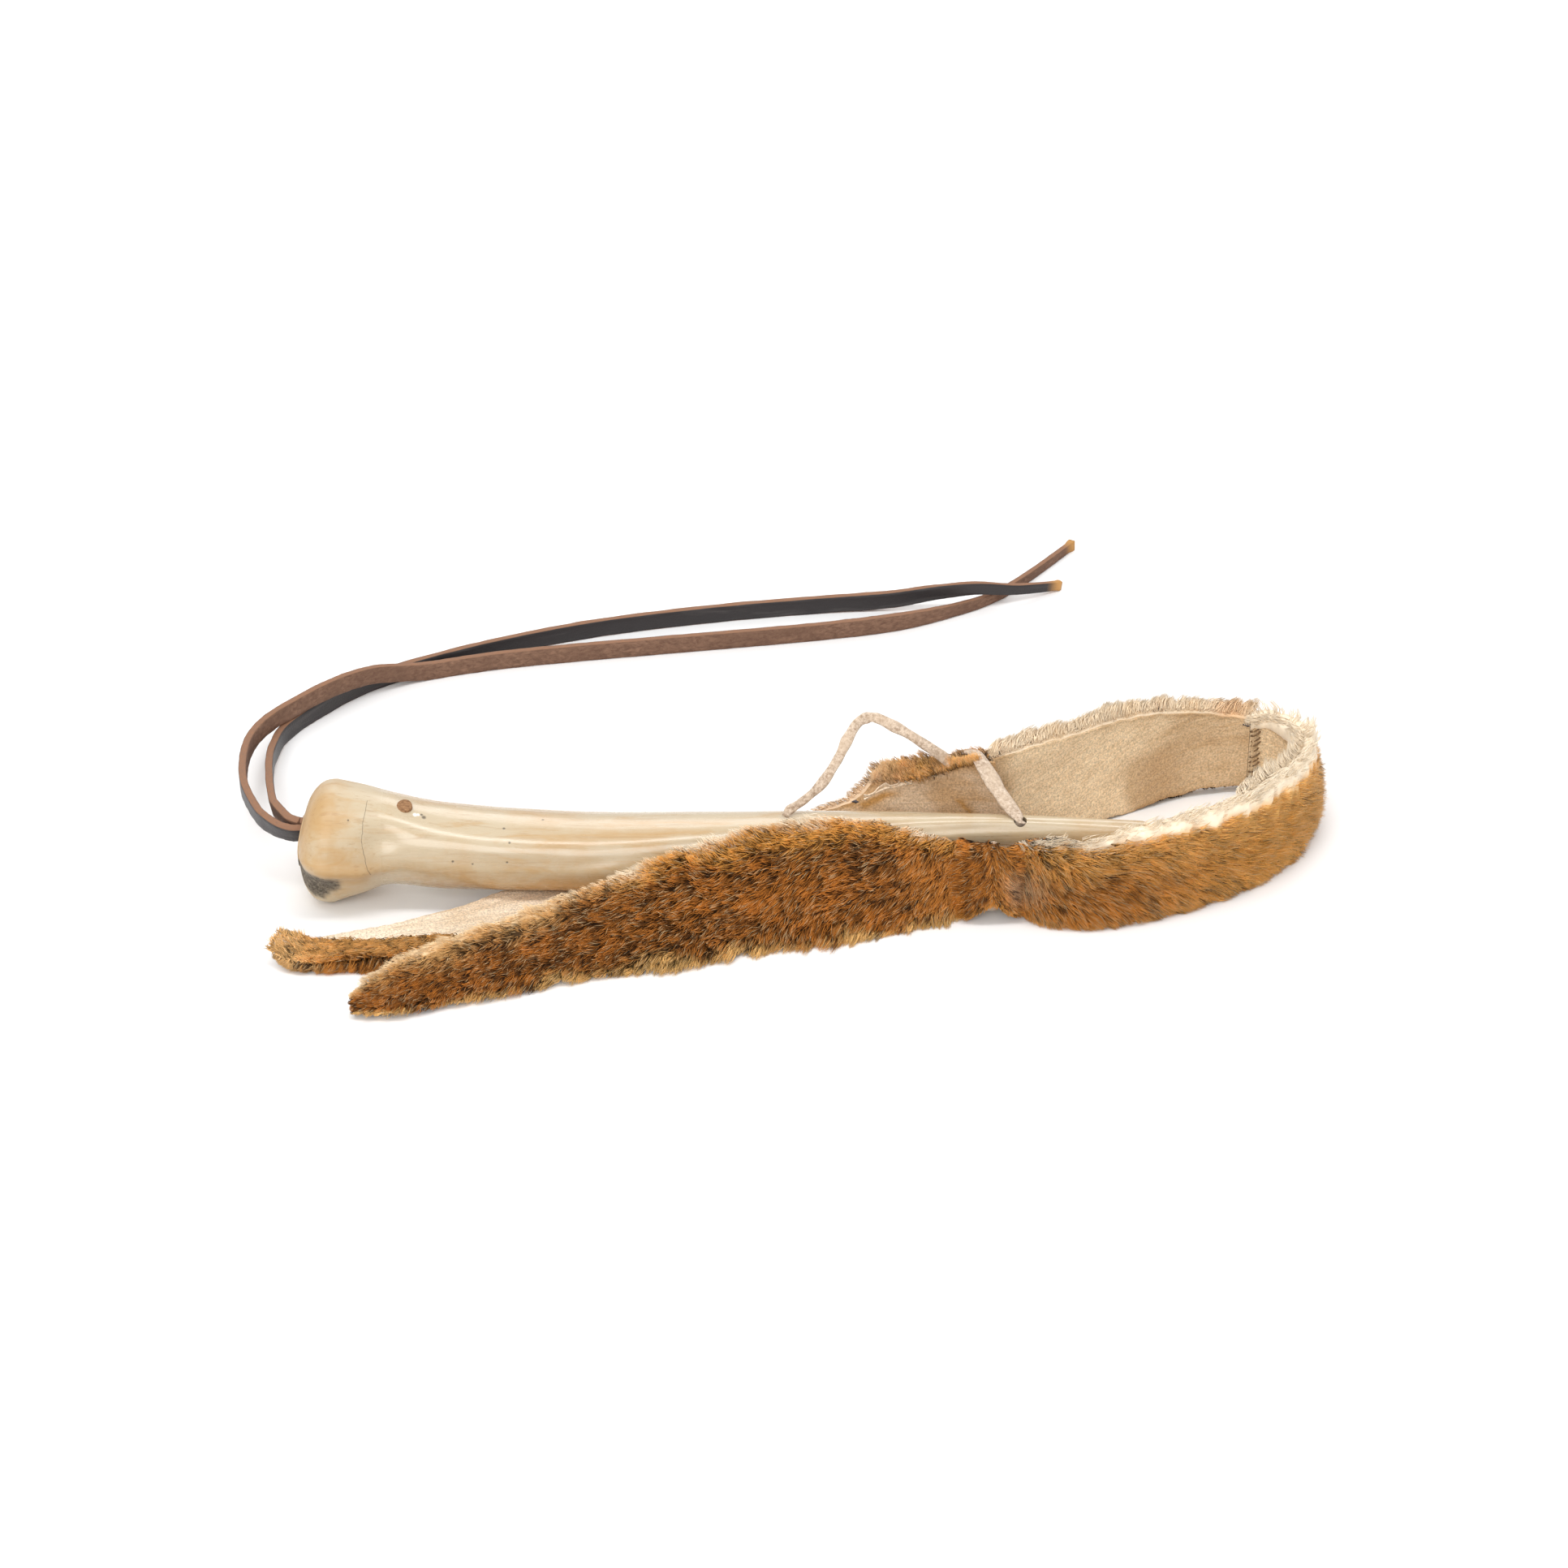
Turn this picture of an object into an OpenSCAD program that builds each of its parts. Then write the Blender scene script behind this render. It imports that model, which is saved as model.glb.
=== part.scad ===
// Riding quirt with a bone handle, a doubled leather lash and a fur wrist strap.
// It lies on a table: +X runs along the handle from the lash to the wrist loop, +Z is up.

/* [Handle] */
// Length of the bone handle
handle_len = 350; // [330:1:380]
// Width of the flared butt, across the table
butt_w = 54; // [50:1:60]
// Height of the flared butt, which stands on the table
butt_h = 48; // [46:1:54]
// Width of the neck behind the butt
neck_w = 41; // [38:1:46]
// Height of the neck behind the butt
neck_h = 36; // [35:1:40]
// Width of the shaft
shaft_w = 41; // [36:1:44]
// Height of the shaft
shaft_h = 29; // [27:1:32]
// Width of the grip, halfway along the taper
grip_w = 27; // [24:1:30]
// Height of the grip, halfway along the taper
grip_h = 23; // [20:1:25]
// Thickness of the handle where the strap is tied
tie_d = 13.5; // [12.5:0.5:16]
// Thickness of the handle just before its rounded tip
tip_d = 11; // [9:0.5:13]
// Height of the handle's axis where the strap is tied
tie_z = 29; // [27:0.5:32]
// Length of handle beyond the tie
tip_past_tie = 67; // [60:1:75]

/* [Lash socket] */
// Distance from the butt to the peg that holds the lash
peg_from_butt = 44; // [41:1:47]
// Diameter of the peg
peg_d = 6.4; // [5:0.2:7]
// Depth of the drilled socket, from the butt to the marrow cavity
socket_depth = 31; // [27:1:32]
// Sideways offset of the socket from the middle of the butt
socket_y = 2; // [0:0.5:4]
// Height of the socket above the middle of the butt
socket_up = 4; // [2:0.5:5]
// Width of the marrow canal in the shaft
canal_d = 13; // [9:0.5:15]
// Length of the marrow canal
canal_len = 190; // [120:5:200]
// Tilt of the peg and of the thong hole towards the front, in degrees
drill_tilt = 25; // [15:1:35]

/* [Lashes] */
// Width of the lash leather
lash_w = 8; // [6:0.5:9]
// Thickness of the lash leather
lash_t = 3.2; // [2.2:0.1:3.6]
// Width of a lash at its tip
lash_tip_w = 4; // [3:0.5:6]

/* [Wrist strap] */
// Widest width of the strap
strap_w = 48; // [42:1:54]
// Reach of the wrist loop past the tie
loop_len = 133; // [120:1:150]
// Reach of the wrist loop from the front of the handle to the back
loop_w = 88; // [78:1:100]
// Reach of the front tail before the tie
front_tail_len = 254; // [230:1:270]
// Reach of the back tail before the tie
back_tail_len = 294; // [280:1:305]
// Thickness of the hide
hide_t = 1.6; // [1:0.1:2.2]
// Depth of the standing fur
fur_t = 7.5; // [4:0.5:9]
// Depth of the fur that the handle presses flat
pressed_fur_t = 2; // [1.5:0.1:3]
// Height of the strap where the thong gathers it
gather_h = 22; // [18:1:24]
// Diameter of the sinew thread in the seam
thread_d = 1.4; // [1:0.1:1.8]
// Number of stitches in the seam
stitch_count = 8; // [5:1:10]

/* [Thong] */
// Width of the buckskin thong
thong_w = 4.4; // [3.6:0.1:5]
// Thickness of the buckskin thong
thong_t = 1.8; // [1.2:0.1:2.2]

/* [Fits] */
// Clearance around the doubled lash in its socket
socket_fit = 0.4; // [0.2:0.1:0.8]
// Clearance between the peg and the fold of the lash
peg_fit = 0.1; // [0.05:0.05:0.3]
// Clearance around the thong in its hole
thong_fit = 0.3; // [0.2:0.1:0.6]
// Gap between pieces that lie against each other
lay_gap = 0.3; // [0.2:0.1:0.6]

/* [Hidden] */
$fn = 48;

bone_color = [0.90, 0.82, 0.68];
peg_color = [0.45, 0.30, 0.16];
lash_color = [0.35, 0.24, 0.18];
hide_color = [0.74, 0.64, 0.48];
fur_color = [0.62, 0.40, 0.18];
thread_color = [0.30, 0.24, 0.16];
thong_color = [0.76, 0.68, 0.58];

// The butt is at the left, and everything on the strap is placed from the tie
butt_x = -207;
tie_x = butt_x + handle_len - tip_past_tie;
butt_z = butt_h / 2;
bed_h = pressed_fur_t + hide_t + 3 * lay_gap;
shaft_z = bed_h + shaft_h / 2;
socket_z = butt_z + socket_up;
fold_r = peg_d / 2 + peg_fit + lash_t;
socket_d = 2 * (norm([lash_t, lash_w / 2]) + socket_fit);
pocket_d = 2 * (norm([fold_r, lash_w / 2]) + socket_fit);
pocket_end = peg_from_butt + fold_r + 2 * socket_fit;
thong_hole_d = norm([thong_w, thong_t]) + 2 * thong_fit;
thong_hole_x = tie_x + 12;
front_y = -tie_d / 2;
back_y = tie_d / 2;

// Where the lashes turn, just outside the socket
swing_reach = 6;
root_end = 0.6;
root_gap = 0.8;

// A point of a smooth curve through the stations p, at share t of the span that starts at i
function station(p, i) = p[max(0, min(len(p) - 1, i))];
function between(p, i, t) =
    let (a = station(p, i - 1), b = station(p, i), c = station(p, i + 1), d = station(p, i + 2))
    0.5 * (2 * b + t * (c - a) + t * t * (2 * a - 5 * b + 4 * c - d)
        + t * t * t * (3 * b - a - 3 * c + d));
function smooth(p, n) = concat(
    [for (i = [0 : len(p) - 2], k = [0 : n - 1]) between(p, i, k / n)],
    [p[len(p) - 1]]);
function first3(v) = [v[0], v[1], v[2]];
function unit(v) = v / norm(v);
function heading(p, i) = unit(first3(station(p, i + 1)) - first3(station(p, i - 1)));

// A closed skin over rings that all have as many points, turned where they run the other way round
module loft(rings, turned = false) {
    m = len(rings[0]);
    last = (len(rings) - 1) * m;
    sides = [for (i = [0 : len(rings) - 2], j = [0 : m - 1])
        let (a = i * m + j, b = i * m + (j + 1) % m) each [[a, a + m, b], [b, a + m, b + m]]];
    near_cap = [for (j = [1 : m - 2]) [0, j, j + 1]];
    far_cap = [for (j = [1 : m - 2]) [last, last + j + 1, last + j]];
    faces = concat(sides, near_cap, far_cap);
    polyhedron([for (r = rings) each r], turned ? [for (f = faces) [f[2], f[1], f[0]]] : faces);
}

// The bone: rings [distance from the butt, height of the centre, half width, half height]
bone_sides = 36;
cap_len = 14;
cap_power = 2.6;
cap_steps = 6;
tip_steps = 5;
tip_round = tip_d / 2;
taper_len = handle_len - tip_past_tie;
neck_at = 38;
shaft_at = 105;
grip_at = (shaft_at + taper_len) / 2 + 20;
grip_z = (shaft_z + tie_z) / 2 + 0.5;
bone_stations = [
    [cap_len, butt_z, butt_w / 2, butt_h / 2],
    [neck_at - 12, butt_z + 1, (butt_w + neck_w) / 4 + 0.5, (butt_h + neck_h) / 4],
    [neck_at, butt_z + 1.5, neck_w / 2, neck_h / 2],
    [neck_at + 24, (butt_z + shaft_z) / 2 + 0.5, (neck_w + shaft_w) / 4, (neck_h + shaft_h) / 4],
    [shaft_at, shaft_z + 0.5, shaft_w / 2, shaft_h / 2],
    [shaft_at + 32, shaft_z + 0.5, shaft_w / 2 - 1, shaft_h / 2 - 0.3],
    [grip_at, grip_z, grip_w / 2, grip_h / 2],
    [taper_len, tie_z, tie_d / 2, tie_d / 2],
    [handle_len - tip_round, tie_z - 2, tip_d / 2, tip_d / 2]];
function rounded(s) = pow(1 - pow(1 - s, cap_power), 1 / cap_power);
function shrunk(v, at, k) = [at, v[1], k * v[2], k * v[3]];
butt_cap = [for (k = [0 : cap_steps - 1])
    let (s = pow(k / cap_steps, 2)) shrunk(bone_stations[0], cap_len * s, max(0.42, rounded(s)))];
tip_cap = [for (k = [1 : tip_steps])
    let (a = 86 * k / tip_steps)
    shrunk(station(bone_stations, len(bone_stations)), handle_len - tip_round * (1 - sin(a)), cos(a))];
bone_rings = concat(butt_cap, smooth(bone_stations, 4), tip_cap);
lobe = 0.03;
function bone_point(v, a) =
    let (r = 1 + lobe * cos(3 * a)) [butt_x + v[0], r * v[2] * cos(a), v[1] + r * v[3] * sin(a)];
function bone_ring(v) = [for (j = [0 : bone_sides - 1]) bone_point(v, 360 * j / bone_sides)];

// A drill laid across the handle at x and height z, tilted to the front
module drill(x, y, z, d, len) {
    translate([x, y, z])
        rotate([drill_tilt, 0, 0])
            cylinder(d = d, h = len, center = true);
}

module bone_body() {
    loft([for (v = bone_rings) bone_ring(v)]);
}

module bone_handle() {
    color(bone_color)
        difference() {
            bone_body();
            translate([butt_x - 1, socket_y, socket_z])
                rotate([0, 90, 0])
                    cylinder(d = socket_d, h = socket_depth + 2);
            translate([butt_x + socket_depth, socket_y, socket_z])
                rotate([0, 90, 0])
                    cylinder(d = pocket_d, h = pocket_end - socket_depth);
            translate([butt_x + pocket_end - 4, 0, shaft_z + 2])
                rotate([0, 90, 0])
                    cylinder(d1 = canal_d, d2 = canal_d * 0.7, h = canal_len);
            drill(butt_x + peg_from_butt, socket_y, socket_z, peg_d, butt_h * 2);
            drill(thong_hole_x, 0, tie_z, thong_hole_d, tie_d * 2);
        }
}

// The peg is cut flush with the bone above and below
module lash_peg() {
    color(peg_color)
        intersection() {
            drill(butt_x + peg_from_butt, socket_y, socket_z, peg_d, butt_h * 2);
            bone_body();
        }
}

// The fold of the lash round its peg, and the doubled stretch in the socket
module lash_root() {
    throat = peg_from_butt - socket_depth + 1;
    gap_r = peg_d / 2 + peg_fit;
    color(lash_color)
        translate([butt_x + peg_from_butt, socket_y, socket_z])
            rotate([drill_tilt, 0, 0])
                linear_extrude(lash_w, center = true)
                    difference() {
                        union() {
                            circle(fold_r);
                            polygon([[0, fold_r], [-throat, lash_t], [-peg_from_butt - root_end, lash_t],
                                [-peg_from_butt - root_end, -lash_t], [-throat, -lash_t], [0, -fold_r]]);
                        }
                        circle(gap_r);
                        polygon([[0, gap_r], [-throat, 0], [0, -gap_r]]);
                    }
}

// A flat strap swept along stations [x, y, z, lean, width, thickness]
function strap_ring(p, i) =
    let (t = heading(p, i), v = p[i])
    let (side = unit(cross(t, [0, 0, 1])), up = cross(side, t))
    let (wide = up * cos(v[3]) + side * sin(v[3]), thin = side * cos(v[3]) - up * sin(v[3]))
    let (a = v[4] / 2, b = v[5] / 2, c = v[5] / 4)
    [for (q = [[a, b - c], [a - c, b], [c - a, b], [-a, b - c], [-a, c - b], [c - a, -b], [a - c, -b],
        [a, c - b]]) first3(v) + q[0] * wide + q[1] * thin];
module flat_strap(route, n) {
    p = smooth(route, n);
    loft([for (i = [0 : len(p) - 1]) strap_ring(p, i)]);
}

// A lash leaves the socket beside its twin, turns back behind the handle and ends in a taper.
// Stations: turn [x, y, z, lean], run [x, y, height above the table], tip [x, y, z, width added]
module lash(side, turn, run, tip) {
    apart = side * (lash_t + lay_gap) / 2;
    exit_y = socket_y + apart * cos(drill_tilt);
    exit_z = socket_z + apart * sin(drill_tilt);
    nose_y = socket_y + 0.4 * apart;
    start = [
        [-root_end - root_gap, nose_y, exit_z, -drill_tilt, lash_w * 0.6, lash_t * 0.2],
        [-swing_reach + 2, exit_y, exit_z, -drill_tilt, lash_w, lash_t * 0.8],
        [-swing_reach, exit_y, exit_z, -drill_tilt, lash_w, lash_t]];
    bend = [for (v = turn) [v[0], v[1], v[2], v[3], lash_w, lash_t]];
    far = [for (v = run) [v[0], v[1], lash_w / 2 + v[2], 0, lash_w, lash_t]];
    end = [for (v = tip) [v[0], v[1], v[2], 0, lash_tip_w + v[3], lash_t * 0.8]];
    color(lash_color)
        translate([butt_x, 0, 0])
            flat_strap(concat(start, bend, far, end), 2);
}

outer_turn = [[-10.5, 2.8, 26.7, -20], [-15.5, 9.5, 25.6, -14], [-21, 21, 24, -8], [-28, 46, 21.5, -3],
    [-32, 74, 17.5, 0], [-32, 98, 14.5, 0], [-27, 117, 13, 0], [-16, 134, 12.7, 0], [-1, 152, 12.5, 0],
    [15, 168, 10, 0]];
outer_run = [[37, 183, 0.6], [68, 194, 0.2], [105, 202, 0.2], [157, 211, 0.2], [213, 221, 0.2],
    [250, 230, 0.2]];
outer_tip = [[277, 243, 3.4, 2], [296, 257, 2.9, 1], [313, 278, 2.6, 0.5], [336, 312, 2.4, 0]];
inner_turn = [[-8.4, 6, 28.4, -22], [-12, 12.5, 27, -16], [-15, 24, 24.5, -10], [-18.5, 50, 19, -4],
    [-22, 82, 12, 0], [-23, 106, 6.5, 0]];
inner_run = [[-20, 128, 0.2], [-7, 150, 0.2], [13, 174, 0.2], [45, 196, 0.2], [83, 215, 0.2],
    [120, 229, 0.2], [169, 241, 0.2], [213, 248, 0.2], [247, 250, 1.5]];
inner_tip = [[269, 250, 9, 3], [287, 251, 10.6, 2], [307, 258, 6.5, 1], [328, 270, 2.4, 0]];

module lash_outer() lash(-1, outer_turn, outer_run, outer_tip);
module lash_inner() lash(1, inner_turn, inner_run, inner_tip);

// A strap panel along its lower inner edge: stations [x, y, z, width, lean, fur depth],
// x from the tie, y from the handle's side there, lean as the upper edge's tilt away from the fur.
// side is 1 where the fur is on the right of the route, and -1 on the left
function across(p, i, side) =
    let (t = heading(p, i), flat = unit(cross(t, [0, 0, 1])) * side, a = p[i][4])
    [[-sin(a) * flat[0], -sin(a) * flat[1], cos(a)], [cos(a) * flat[0], cos(a) * flat[1], sin(a)]];
function panel_ring(p, i, y0, side, section) =
    let (v = p[i], d = across(p, i, side))
    [for (q = section) [tie_x + v[0], y0 + v[1], v[2]] + q[0] * v[3] * d[0] + q[1] * d[1]];
hide_section = [[0, 0], [1, 0], [1, hide_t], [0, hide_t]];
skin_gap = 0.05;
function fur_section(depth) =
    [for (q = [[1, 0], [0, 0], [0, 0.35], [0.1, 0.8], [0.34, 1], [0.66, 1], [0.92, 0.8], [1.04, 0.35]])
        [q[0], hide_t + skin_gap + depth * q[1]]];
function rings_from(route, n, from, to) =
    let (p = smooth(route, n)) [from * n, to < 0 ? len(p) - 1 : to * n, p];
module hide_panel(route, y0, side, from = 0, to = -1) {
    r = rings_from(route, panel_steps, from, to);
    color(hide_color)
        loft([for (i = [r[0] : r[1]]) panel_ring(r[2], i, y0, side, hide_section)], side < 0);
}
module fur_panel(route, y0, side, from = 0, to = -1) {
    r = rings_from(route, panel_steps, from, to);
    color(fur_color)
        loft([for (i = [r[0] : r[1]]) panel_ring(r[2], i, y0, side, fur_section(r[2][i][5]))], side > 0);
}

panel_steps = 4;
gather_y = -6;
gather_z = 4;
seam_x = loop_x(0.857);
seam_y = loop_w - tie_d + 0.5;
seam_z = 4;
seam_h = 0.67 * strap_w;
function loop_x(share) = share * loop_len;
function loop_y(share) = share * loop_w;
loop_front_route = [
    [5.5, gather_y, gather_z, gather_h, 0, 0.4 * fur_t], [13, -9, 2, 0.62 * strap_w, 5, 0.8 * fur_t],
    [24, -15, 0.6, 0.7 * strap_w, 10, fur_t], [loop_x(0.3), -17, 0.2, 0.73 * strap_w, 8, fur_t],
    [loop_x(0.49), -10, 0.2, 0.84 * strap_w, 5, fur_t],
    [loop_x(0.7), loop_y(0.06), 0.2, 0.88 * strap_w, 0, fur_t],
    [loop_x(0.86), loop_y(0.27), 0.2, 0.88 * strap_w, 0, fur_t],
    [loop_x(0.955), loop_y(0.48), 0.4, 0.86 * strap_w, 0, fur_t],
    [loop_x(1), loop_y(0.68), 0.8, 0.83 * strap_w, 0, fur_t],
    [loop_x(1), loop_y(0.84), 1.5, 0.78 * strap_w, 0, fur_t],
    [loop_x(0.97), loop_y(0.94), 2.4, 0.74 * strap_w, 0, fur_t],
    [loop_x(0.92), loop_y(1), 3.2, 0.7 * strap_w, 0, fur_t],
    [seam_x + lay_gap / 2, seam_y + tie_d, seam_z, seam_h, 0, fur_t]];
loop_back_route = [
    [2, 21, 1, 0.58 * strap_w, 0, 0.6 * fur_t], [22, 32, 0.6, 0.98 * strap_w, 0, fur_t],
    [loop_x(0.3), loop_y(0.64) - tie_d, 0.3, strap_w, 0, fur_t],
    [loop_x(0.45), loop_y(0.78) - tie_d, 0.3, strap_w, 0, fur_t],
    [loop_x(0.65), loop_y(0.94) - tie_d, 2.5, 0.84 * strap_w, 0, fur_t],
    [loop_x(0.78), loop_y(0.995) - tie_d, 3.5, 0.72 * strap_w, 0, fur_t],
    [seam_x - lay_gap / 2, seam_y, seam_z, seam_h, 0, fur_t]];

// Both tails lie free from some way before the tie: front_out and back_out give x at a share of the rest
front_free = 58;
back_free = 158;
function front_out(share) = -front_free - share * (front_tail_len - front_free);
function back_out(share) = -back_free - share * (back_tail_len - back_free);
tail_front_route = [
    [-7.5, gather_y, gather_z, gather_h, 0, 0.4 * fur_t], [-15, -10, 2, 0.62 * strap_w, 12, 0.8 * fur_t],
    [-28, -18, 0.6, 0.78 * strap_w, 24, fur_t], [front_out(0), -27, 0.2, 0.92 * strap_w, 33, fur_t],
    [front_out(0.2), -38, 0.2, 0.92 * strap_w, 36, fur_t],
    [front_out(0.37), -50, 0.2, 0.81 * strap_w, 38, fur_t],
    [front_out(0.55), -59, 0.2, 0.62 * strap_w, 40, fur_t],
    [front_out(0.67), -67, 0.2, 0.51 * strap_w, 42, fur_t],
    [front_out(0.81), -78, 0.2, 0.46 * strap_w, 45, 0.9 * fur_t],
    [front_out(0.93), -84, 0.2, 0.32 * strap_w, 48, 0.8 * fur_t],
    [front_out(1), -85, 0.2, 0.15 * strap_w, 50, 0.5 * fur_t]];
// The back tail lies on its pressed fur where it passes under the handle
bed_z = pressed_fur_t + hide_t + lay_gap;
tail_back_route = [
    [-0.5, 19, 1, strap_w - 1, 0, fur_t], [-18, 17, 1, 0.9 * strap_w, -7, fur_t],
    [-38, 11, 1.5, 0.86 * strap_w, -16, 0.8 * fur_t], [-52, 5.5, 2.6, 0.6 * strap_w, -28, 0.65 * fur_t],
    [-74, -3, bed_z, 0.56 * strap_w, -58, 0.45 * fur_t],
    [-104, -16, bed_z, 0.74 * strap_w, -86, pressed_fur_t],
    [-130, -29, bed_z, 0.84 * strap_w, -88, pressed_fur_t],
    [back_out(0), -42, bed_z, 0.84 * strap_w, -89, pressed_fur_t],
    [back_out(0.26), -54, bed_z, 0.76 * strap_w, -88, pressed_fur_t],
    [back_out(0.46), -60, bed_z, 0.52 * strap_w, -84, pressed_fur_t],
    [back_out(0.67), -66, bed_z, 0.39 * strap_w, -80, pressed_fur_t],
    [back_out(0.9), -70, bed_z, 0.3 * strap_w, -78, pressed_fur_t],
    [back_out(1), -64, bed_z + 3.5, 0.18 * strap_w, -64, pressed_fur_t]];
tail_end_from = 10;

module loop_front_hide() hide_panel(loop_front_route, front_y, 1);
module loop_front_fur() fur_panel(loop_front_route, front_y, 1);
module loop_back_hide() hide_panel(loop_back_route, back_y, -1);
module loop_back_fur() fur_panel(loop_back_route, back_y, -1);
module tail_front_hide() hide_panel(tail_front_route, front_y, -1);
module tail_front_fur() fur_panel(tail_front_route, front_y, -1);
module tail_back_hide() hide_panel(tail_back_route, back_y, 1, 0, tail_end_from);
module tail_back_fur() fur_panel(tail_back_route, back_y, 1, 0, tail_end_from);
module tail_end_hide() translate([-lay_gap, 0, 0]) hide_panel(tail_back_route, back_y, 1, tail_end_from);
module tail_end_fur() translate([-lay_gap, 0, 0]) fur_panel(tail_back_route, back_y, 1, tail_end_from);

// Whip stitches of sinew across the seam, on the side of the loop where the hand goes
stitch_len = 9;
stitch_slant = 12;
stitch_sunk = 0.4;

module seam_stitches() {
    pitch = seam_h / stitch_count;
    stitch_y = back_y + seam_y - thread_d / 2 + stitch_sunk;
    color(thread_color)
        for (k = [0 : stitch_count - 1])
            translate([tie_x + seam_x, stitch_y, seam_z + (k + 0.5) * pitch])
                rotate([0, 90 + stitch_slant, 0])
                    cylinder(d = thread_d, h = stitch_len, center = true);
}

// The strap's gathered neck, inside the thong's turn
neck_fold = 6.4;
neck_len = thong_w + 3;

module strap_neck() {
    color(hide_color)
        translate([tie_x, front_y + gather_y - neck_fold / 2, gather_z + gather_h / 2])
            intersection() {
                cube([neck_len, neck_fold, gather_h], center = true);
                rotate([0, 90, 0])
                    cylinder(d = gather_h, h = neck_len, center = true);
            }
}

// The thong: over the back strap, through the handle and round the gathered neck.
// Points are [x from the tie, y, z from the handle's axis at the tie]
thong_tie_route = [
    [-15, 34, 14.5], [-11, 34, 18.5], [-6, 29, 21], [-2, 20, 18.5], [3, 11, 13], [9, 1, 8.5],
    [12, -2.8, 6], [12, 0, 0], [12, 2.8, -6], [9, 1, -12], [4, -5, -20], [0, -11, -26.6], [0, -18, -27],
    [0, -23, -21], [0, -23.5, -13], [0, -22, -5], [0, -17, -0.6], [0, -11.5, 0.5]];
thong_end_route = [
    [-16, 25.8, 15], [-25, 24.5, 24.5], [-37, 26, 32.4], [-46, 28, 36], [-50, 28.5, 36.4], [-54.5, 25, 35.4],
    [-58.5, 18, 32], [-62.5, 11, 26.8], [-68.5, 5, 19.4], [-76, 2.5, 12.6], [-82, 0, 9], [-84, -3, 8]];
function thong_stations(p) = [for (v = p) [tie_x + v[0], v[1], tie_z + v[2], 90, thong_w, thong_t]];

module thong_tie() color(thong_color) flat_strap(thong_stations(thong_tie_route), 2);
module thong_end() color(thong_color) flat_strap(thong_stations(thong_end_route), 2);

bone_handle();
lash_peg();
lash_root();
lash_outer();
lash_inner();
loop_front_hide();
loop_front_fur();
loop_back_hide();
loop_back_fur();
seam_stitches();
strap_neck();
tail_front_hide();
tail_front_fur();
tail_back_hide();
tail_back_fur();
tail_end_hide();
tail_end_fur();
thong_tie();
thong_end();
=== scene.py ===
# Riding quirt: polished bone handle, doubled leather lash and a fur wrist strap tied on with buckskin
import math
import bpy
import numpy as np
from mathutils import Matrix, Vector


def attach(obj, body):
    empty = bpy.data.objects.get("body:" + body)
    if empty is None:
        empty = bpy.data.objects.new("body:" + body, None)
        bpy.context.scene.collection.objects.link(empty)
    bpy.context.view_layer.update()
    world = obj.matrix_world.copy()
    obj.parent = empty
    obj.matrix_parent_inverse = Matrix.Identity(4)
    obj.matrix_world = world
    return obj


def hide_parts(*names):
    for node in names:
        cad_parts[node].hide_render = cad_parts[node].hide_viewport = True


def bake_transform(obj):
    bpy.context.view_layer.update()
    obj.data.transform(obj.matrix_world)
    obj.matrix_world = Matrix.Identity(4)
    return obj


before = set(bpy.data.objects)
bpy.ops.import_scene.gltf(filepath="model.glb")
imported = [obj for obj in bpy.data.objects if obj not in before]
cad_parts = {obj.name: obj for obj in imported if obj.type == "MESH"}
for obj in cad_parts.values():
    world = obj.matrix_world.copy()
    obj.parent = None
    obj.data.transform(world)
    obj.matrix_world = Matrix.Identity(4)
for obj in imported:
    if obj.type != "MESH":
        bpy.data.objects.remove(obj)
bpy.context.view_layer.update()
mm = 0.001
tieX, tieZ, buttX = 76, 29, -207      # mm, as in the CAD model
frontY, backY = -6.75, 6.75           # sides of the handle at the tie
hideT = 1.6                           # thickness of the hide
overFloor = dict(piece=0.1, skin=0.15, hair=0.12, hairMiddle=(0.15, 0.9), hairTip=(0.15, 1.2))    # mm
stripUv = "strip"                     # uv map in metres along and across a strip
bakeUv = "OFBake"


# colours are given as 0-255 values and used as linear ones
def tint(r, g, b):
    def linear(c):
        c /= 255
        return c / 12.92 if c <= 0.04045 else ((c + 0.055) / 1.055) ** 2.4
    return (linear(r), linear(g), linear(b))


def unitRows(a):
    return a / np.maximum(np.linalg.norm(a, axis=-1, keepdims=True), 1e-12)


def fade(x, low, high):
    t = np.clip((x - low) / (high - low), 0, 1)
    return t * t * (3 - 2 * t)


# a smooth curve through the stations, the same one as in the CAD model
def smoothRoute(points, steps):
    p = np.asarray(points, float)
    q = np.vstack([p[:1], p, p[-1:]])
    t = (np.arange(steps) / steps)[:, None]
    rows = []
    for i in range(len(p) - 1):
        a, b, c, d = q[i], q[i + 1], q[i + 2], q[i + 3]
        rows.append(0.5 * (2 * b + t * (c - a) + t**2 * (2 * a - 5 * b + 4 * c - d)
                           + t**3 * (3 * b - a - 3 * c + d)))
    return np.vstack(rows + [p[-1:]])


def headings(path):
    return unitRows(np.vstack([path[1:], path[-1:]]) - np.vstack([path[:1], path[:-1]]))


def runLength(path):
    return np.concatenate([[0], np.cumsum(np.linalg.norm(np.diff(path, axis=0), axis=1))])


# a soft pattern of waves over two directions, the same on every run
def ripple(a, b, seed, waves=6):
    rng = np.random.default_rng(seed)
    total = 0
    for k in range(waves):
        ka, kb = rng.normal(0, 1, 2) * (1 + 0.6 * k)
        total = total + np.sin(ka * a + kb * b + rng.uniform(0, 6.28)) / (1 + 0.4 * k)
    return total / 2.2


# object helpers
def deselectAll():
    bpy.ops.object.select_all(action="DESELECT")


def pick(piece):
    deselectAll()
    piece.select_set(True)
    bpy.context.view_layer.objects.active = piece


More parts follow.
